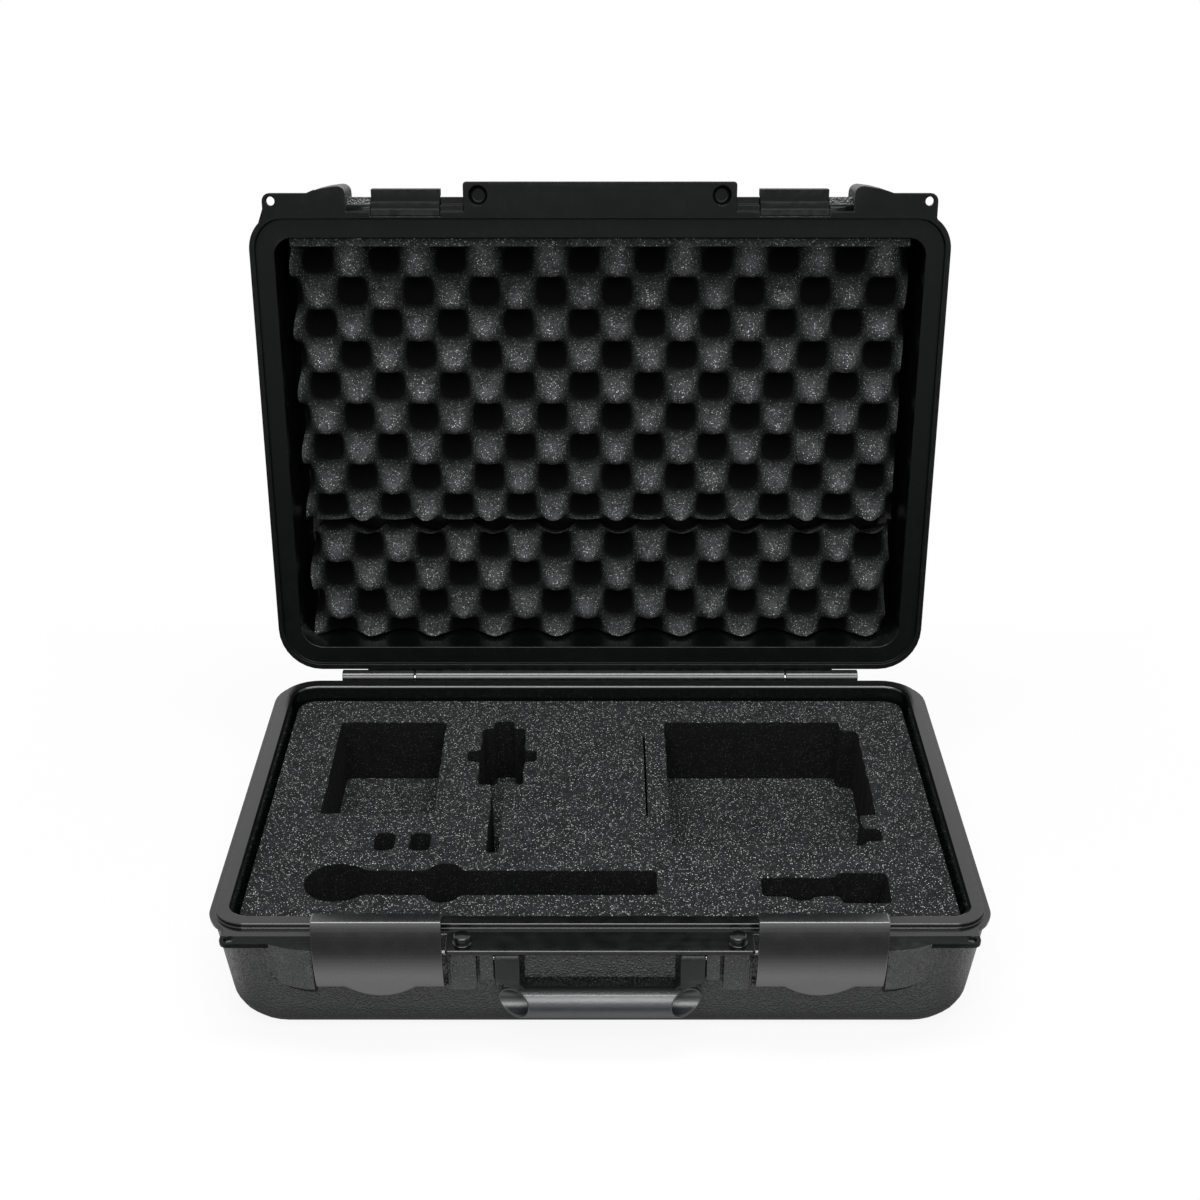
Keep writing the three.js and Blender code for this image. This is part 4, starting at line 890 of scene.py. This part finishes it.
def flat_cover(outer, holes, pitch):
    """Triangles that cover an outline less its holes, with extra points on a grid of that pitch.
    Gives the extra points, and faces numbered over the outline's points, the holes' and the extra ones."""
    rings = [outer, *holes]
    grid = np.stack(np.meshgrid(
        np.arange(outer[:, 0].min() + pitch, outer[:, 0].max(), pitch),
        np.arange(outer[:, 1].min() + pitch, outer[:, 1].max(), pitch),
    ), axis=-1).reshape(-1, 2)
    border = np.vstack(rings)
    kept = inside_ring(grid, outer)
    for hole in holes:
        kept &= ~inside_ring(grid, hole)
    gap = np.min(np.hypot(*(grid[:, None, :] - border[None, :, :]).transpose(2, 0, 1)), axis=1)
    grid = grid[kept & (gap > pitch * 0.4)]
    every = np.vstack([border, grid])
    edges, first = [], 0
    for ring in rings:
        numbers = np.arange(len(ring)) + first
        edges += np.stack([numbers, np.roll(numbers, -1)], axis=1).tolist()
        first += len(ring)
    out = delaunay_2d_cdt(every.tolist(), edges, [], 0, 1e-6)
    faces = np.array([face for face in out[2]])
    origin = np.array([o[0] for o in out[3]])
    faces = origin[faces]
    centres = every[faces].mean(axis=1)
    solid = inside_ring(centres, outer)
    for hole in holes:
        solid &= ~inside_ring(centres, hole)
    return grid, faces[solid]


tray_low, tray_top = 22, 72
lip = [(1.0, 0.0), (0.45, -0.2), (0.1, -0.65), (0.0, -1.4)]
rng = np.random.default_rng(7)


def wavy(count, waves, size):
    """A smooth closed line of small moves: a few sine waves of seeded size and phase added up."""
    turn = np.linspace(0, 2 * math.pi, count, endpoint=False)
    order = np.arange(1, waves + 1)
    phase = rng.uniform(0, 2 * math.pi, waves)
    weight = rng.normal(0, 1, waves) / math.sqrt(waves)
    return size * (weight * np.sin(turn[:, None] * order + phase)).sum(axis=1)


def facing_out(name, points, faces, crease):
    """A closed mesh with its faces turned outwards, smooth except at edges sharper than the crease angle."""
    mesh = bpy.data.meshes.new(name)
    mesh.from_pydata((points * 0.001).tolist(), [], faces)
    skin = bmesh.new()
    skin.from_mesh(mesh)
    bmesh.ops.recalc_face_normals(skin, faces=skin.faces)
    skin.to_mesh(mesh)
    skin.free()
    mesh.shade_smooth()
    mesh.set_sharp_from_angle(angle=math.radians(crease))
    return mesh


def die_cut_block(name, outlines, low, top, pitch):
    """A block of foam between two heights with pockets through it. Each outline is carried down a lip
    profile. A pocket's wall wavers and bellies out half-way down, and a slit keeps a smaller lip."""
    outer = resampled(outlines[0], 4)
    holes = [resampled(ring, 1.6) for ring in outlines[1:]]
    points, faces, top_rings, low_rings = [], [], [], []
    first = 0
    for number, ring in enumerate([outer, *holes]):
        is_outer = number == 0
        is_slit = min(np.ptp(ring[:, 0]), np.ptp(ring[:, 1])) < 4
        waver = wavy(len(ring), max(4, len(ring) // 12), 0 if is_outer or is_slit else 0.25)
        levels = [(-inset * (0.3 if is_slit else 1), top + drop) for inset, drop in lip]
        levels += [(0.0 if is_outer else 0.35, (low + top) / 2), (0.0, low)]
        stack = []
        for inset, height in levels:
            flat = ring + outward(ring) * (inset + waver)[:, None]
            stack.append(np.column_stack([flat, np.full(len(ring), height)]))
        points += stack
        faces.append(ring_walls((len(stack), len(ring)), first)[:, ::-1])
        top_rings.append((first, stack[0]))
        low_rings.append((first + (len(stack) - 1) * len(ring), stack[-1]))
        first += len(stack) * len(ring)
    for rings, height, turn in ((top_rings, top, 1), (low_rings, low, -1)):
        outlines_2d = [stack[:, :2] for _, stack in rings]
        grid, cover = flat_cover(outlines_2d[0], outlines_2d[1:], pitch)
        numbers = [start + np.arange(len(stack)) for start, stack in rings] + [first + np.arange(len(grid))]
        swell = 0.35 * np.sin(grid[:, 0] / 37) * np.cos(grid[:, 1] / 29) if turn > 0 else np.zeros(len(grid))
        points.append(np.column_stack([grid, height - np.abs(swell)]))
        first += len(grid)
        cover = np.concatenate(numbers)[cover]
        faces.append(cover if turn > 0 else cover[:, ::-1])
    return facing_out(name, np.vstack(points), [face for block in faces for face in block.tolist()], 50)


tray = placed(
    "foam_tray", die_cut_block("foam_tray", cut_lines("base_foam_tray", tray_top), tray_low, tray_top, 7),
    charcoal_foam, pocket_wall_shade_foam,
)
# The upright walls, bar the two side walls, take the darker foam as painted shade.
painted_where(tray, 1, lambda at, normal: (np.abs(normal[:, 2]) < 0.5) & (np.abs(at[:, 0]) < 231))
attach(tray, "base")
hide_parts("base_foam_tray")

pad_low, pad_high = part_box("base_foam_pad")
pad = placed("foam_pad", die_cut_block(
    "foam_pad", cut_lines("base_foam_pad", pad_high[2] * 1000), pad_low[2] * 1000, pad_high[2] * 1000, 12,
), charcoal_foam)
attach(pad, "base")
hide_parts("base_foam_pad")


# Convoluted foam in the lid: two sheets cut from a block between profiled rollers, so that blunt peaks
# and deep dips alternate like a chessboard. They are glued in by their flat backs, with a butted seam.
sheet_half, sheet_inset = 226, 6
sheet_floor = 142.7
sheet_thickness, peak_height = 37.7, 30
peak_pitch_x, peak_pitch_y = 49, 45.4
peak_lean = 11
# Its colour is darkened in the dips as painted shade.
convoluted_foam = foam_finish(
    "convoluted_foam", dark=(0.016, 0.018, 0.018), pale=(0.088, 0.097, 0.097), sparkle=(1.0, 1.0, 1.0),
    painted_dip_shade=True,
)


def peak_shape(x, y, column, row):
    """Depth share of the convoluted face: the product of two cosines, raised to a power that blunts the
    peaks. 1 is a peak and 0 is the bottom of a dip."""
    wave = np.cos(2 * math.pi * (x - column) / peak_pitch_x) * np.cos(2 * math.pi * (y - row) / peak_pitch_y)
    return (1 + np.sign(wave) * np.abs(wave) ** 0.88) / 2


def convoluted_sheet(name, front, back, column, row, strip):
    """A grid over the sheet lifted by peak_shape, with side walls and a flat back that closes it. A strip
    along the front edge is left uncut at peak height. Each peak leans to the hinge by its height share."""
    columns, rows = int(2 * sheet_half / 1.7), int((back - front) / 1.7)
    u, v = np.meshgrid(np.linspace(-1, 1, columns + 1), np.linspace(0, 1, rows + 1))
    y = front + (back - front) * v
    x = sheet_half * u
    uncut = np.clip((front + strip + 2.5 - y) / 2.5, 0, 1) if strip else np.zeros_like(y)
    share = np.maximum(peak_shape(x, y, column, row), uncut * uncut * (3 - 2 * uncut))
    z = sheet_floor - sheet_thickness + peak_height * (1 - share)
    y = y + peak_lean * np.where(uncut > 0, 0, share) * np.clip((back - y) / 12, 0, 1)
    x = x + 1.2 * np.sin(y / 7) * np.abs(u) ** 40 * np.sign(u)
    top = np.stack([x, y, z], axis=-1).reshape(-1, 3)
    number = np.arange(top.shape[0]).reshape(rows + 1, columns + 1)
    quads = np.stack([number[:-1, :-1], number[:-1, 1:], number[1:, 1:], number[1:, :-1]], axis=-1)
    quads = quads.reshape(-1, 4)[:, ::-1]
    border = np.concatenate([number[0, :-1], number[:-1, -1], number[-1, :0:-1], number[:0:-1, 0]])
    middle = (front + back) / 2
    edge = top[border]
    inner_y = middle + (edge[:, 1] - middle) * (1 - 2 * sheet_inset / (back - front))
    inner_x = edge[:, 0] * (1 - sheet_inset / sheet_half)
    foot = np.column_stack([inner_x, inner_y, np.full(len(border), sheet_floor)])
    first = len(top)
    here = np.arange(len(border))
    after = (here + 1) % len(border)
    walls = np.stack([border, first + here, first + after, border[after]], axis=-1)
    centre = first + len(border)
    cap = np.stack([first + here, np.full(len(border), centre), first + after], axis=-1)
    points = opened(np.vstack([top, foot, [[0, middle, sheet_floor]]]))
    mesh = facing_out(name, points, quads.tolist() + walls.tolist() + cap.tolist(), 60)
    # Depth share for the painted shade in the dips; the side walls and the back take 0.6, which paints them
    # almost black.
    dip = mesh.attributes.new("dip", "FLOAT", "POINT")
    depth = (top[:, 2] - sheet_floor + sheet_thickness) / peak_height
    dip.data.foreach_set("value", np.concatenate([depth, np.full(len(foot) + 1, 0.6)]))
    return mesh


for name, node, front, back, column, row, strip in (
    ("sheet_upper", "lid_foam_upper", -144.5, 61.4, 12.6, 48.0, 5.5),
    ("sheet_lower", "lid_foam_lower", 62.0, 152.5, 14.6, 146.4, 0),
):
    sheet = placed(name, convoluted_sheet(name, front, back, column, row, strip), convoluted_foam)
    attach(sheet, "lid")
    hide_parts(node)
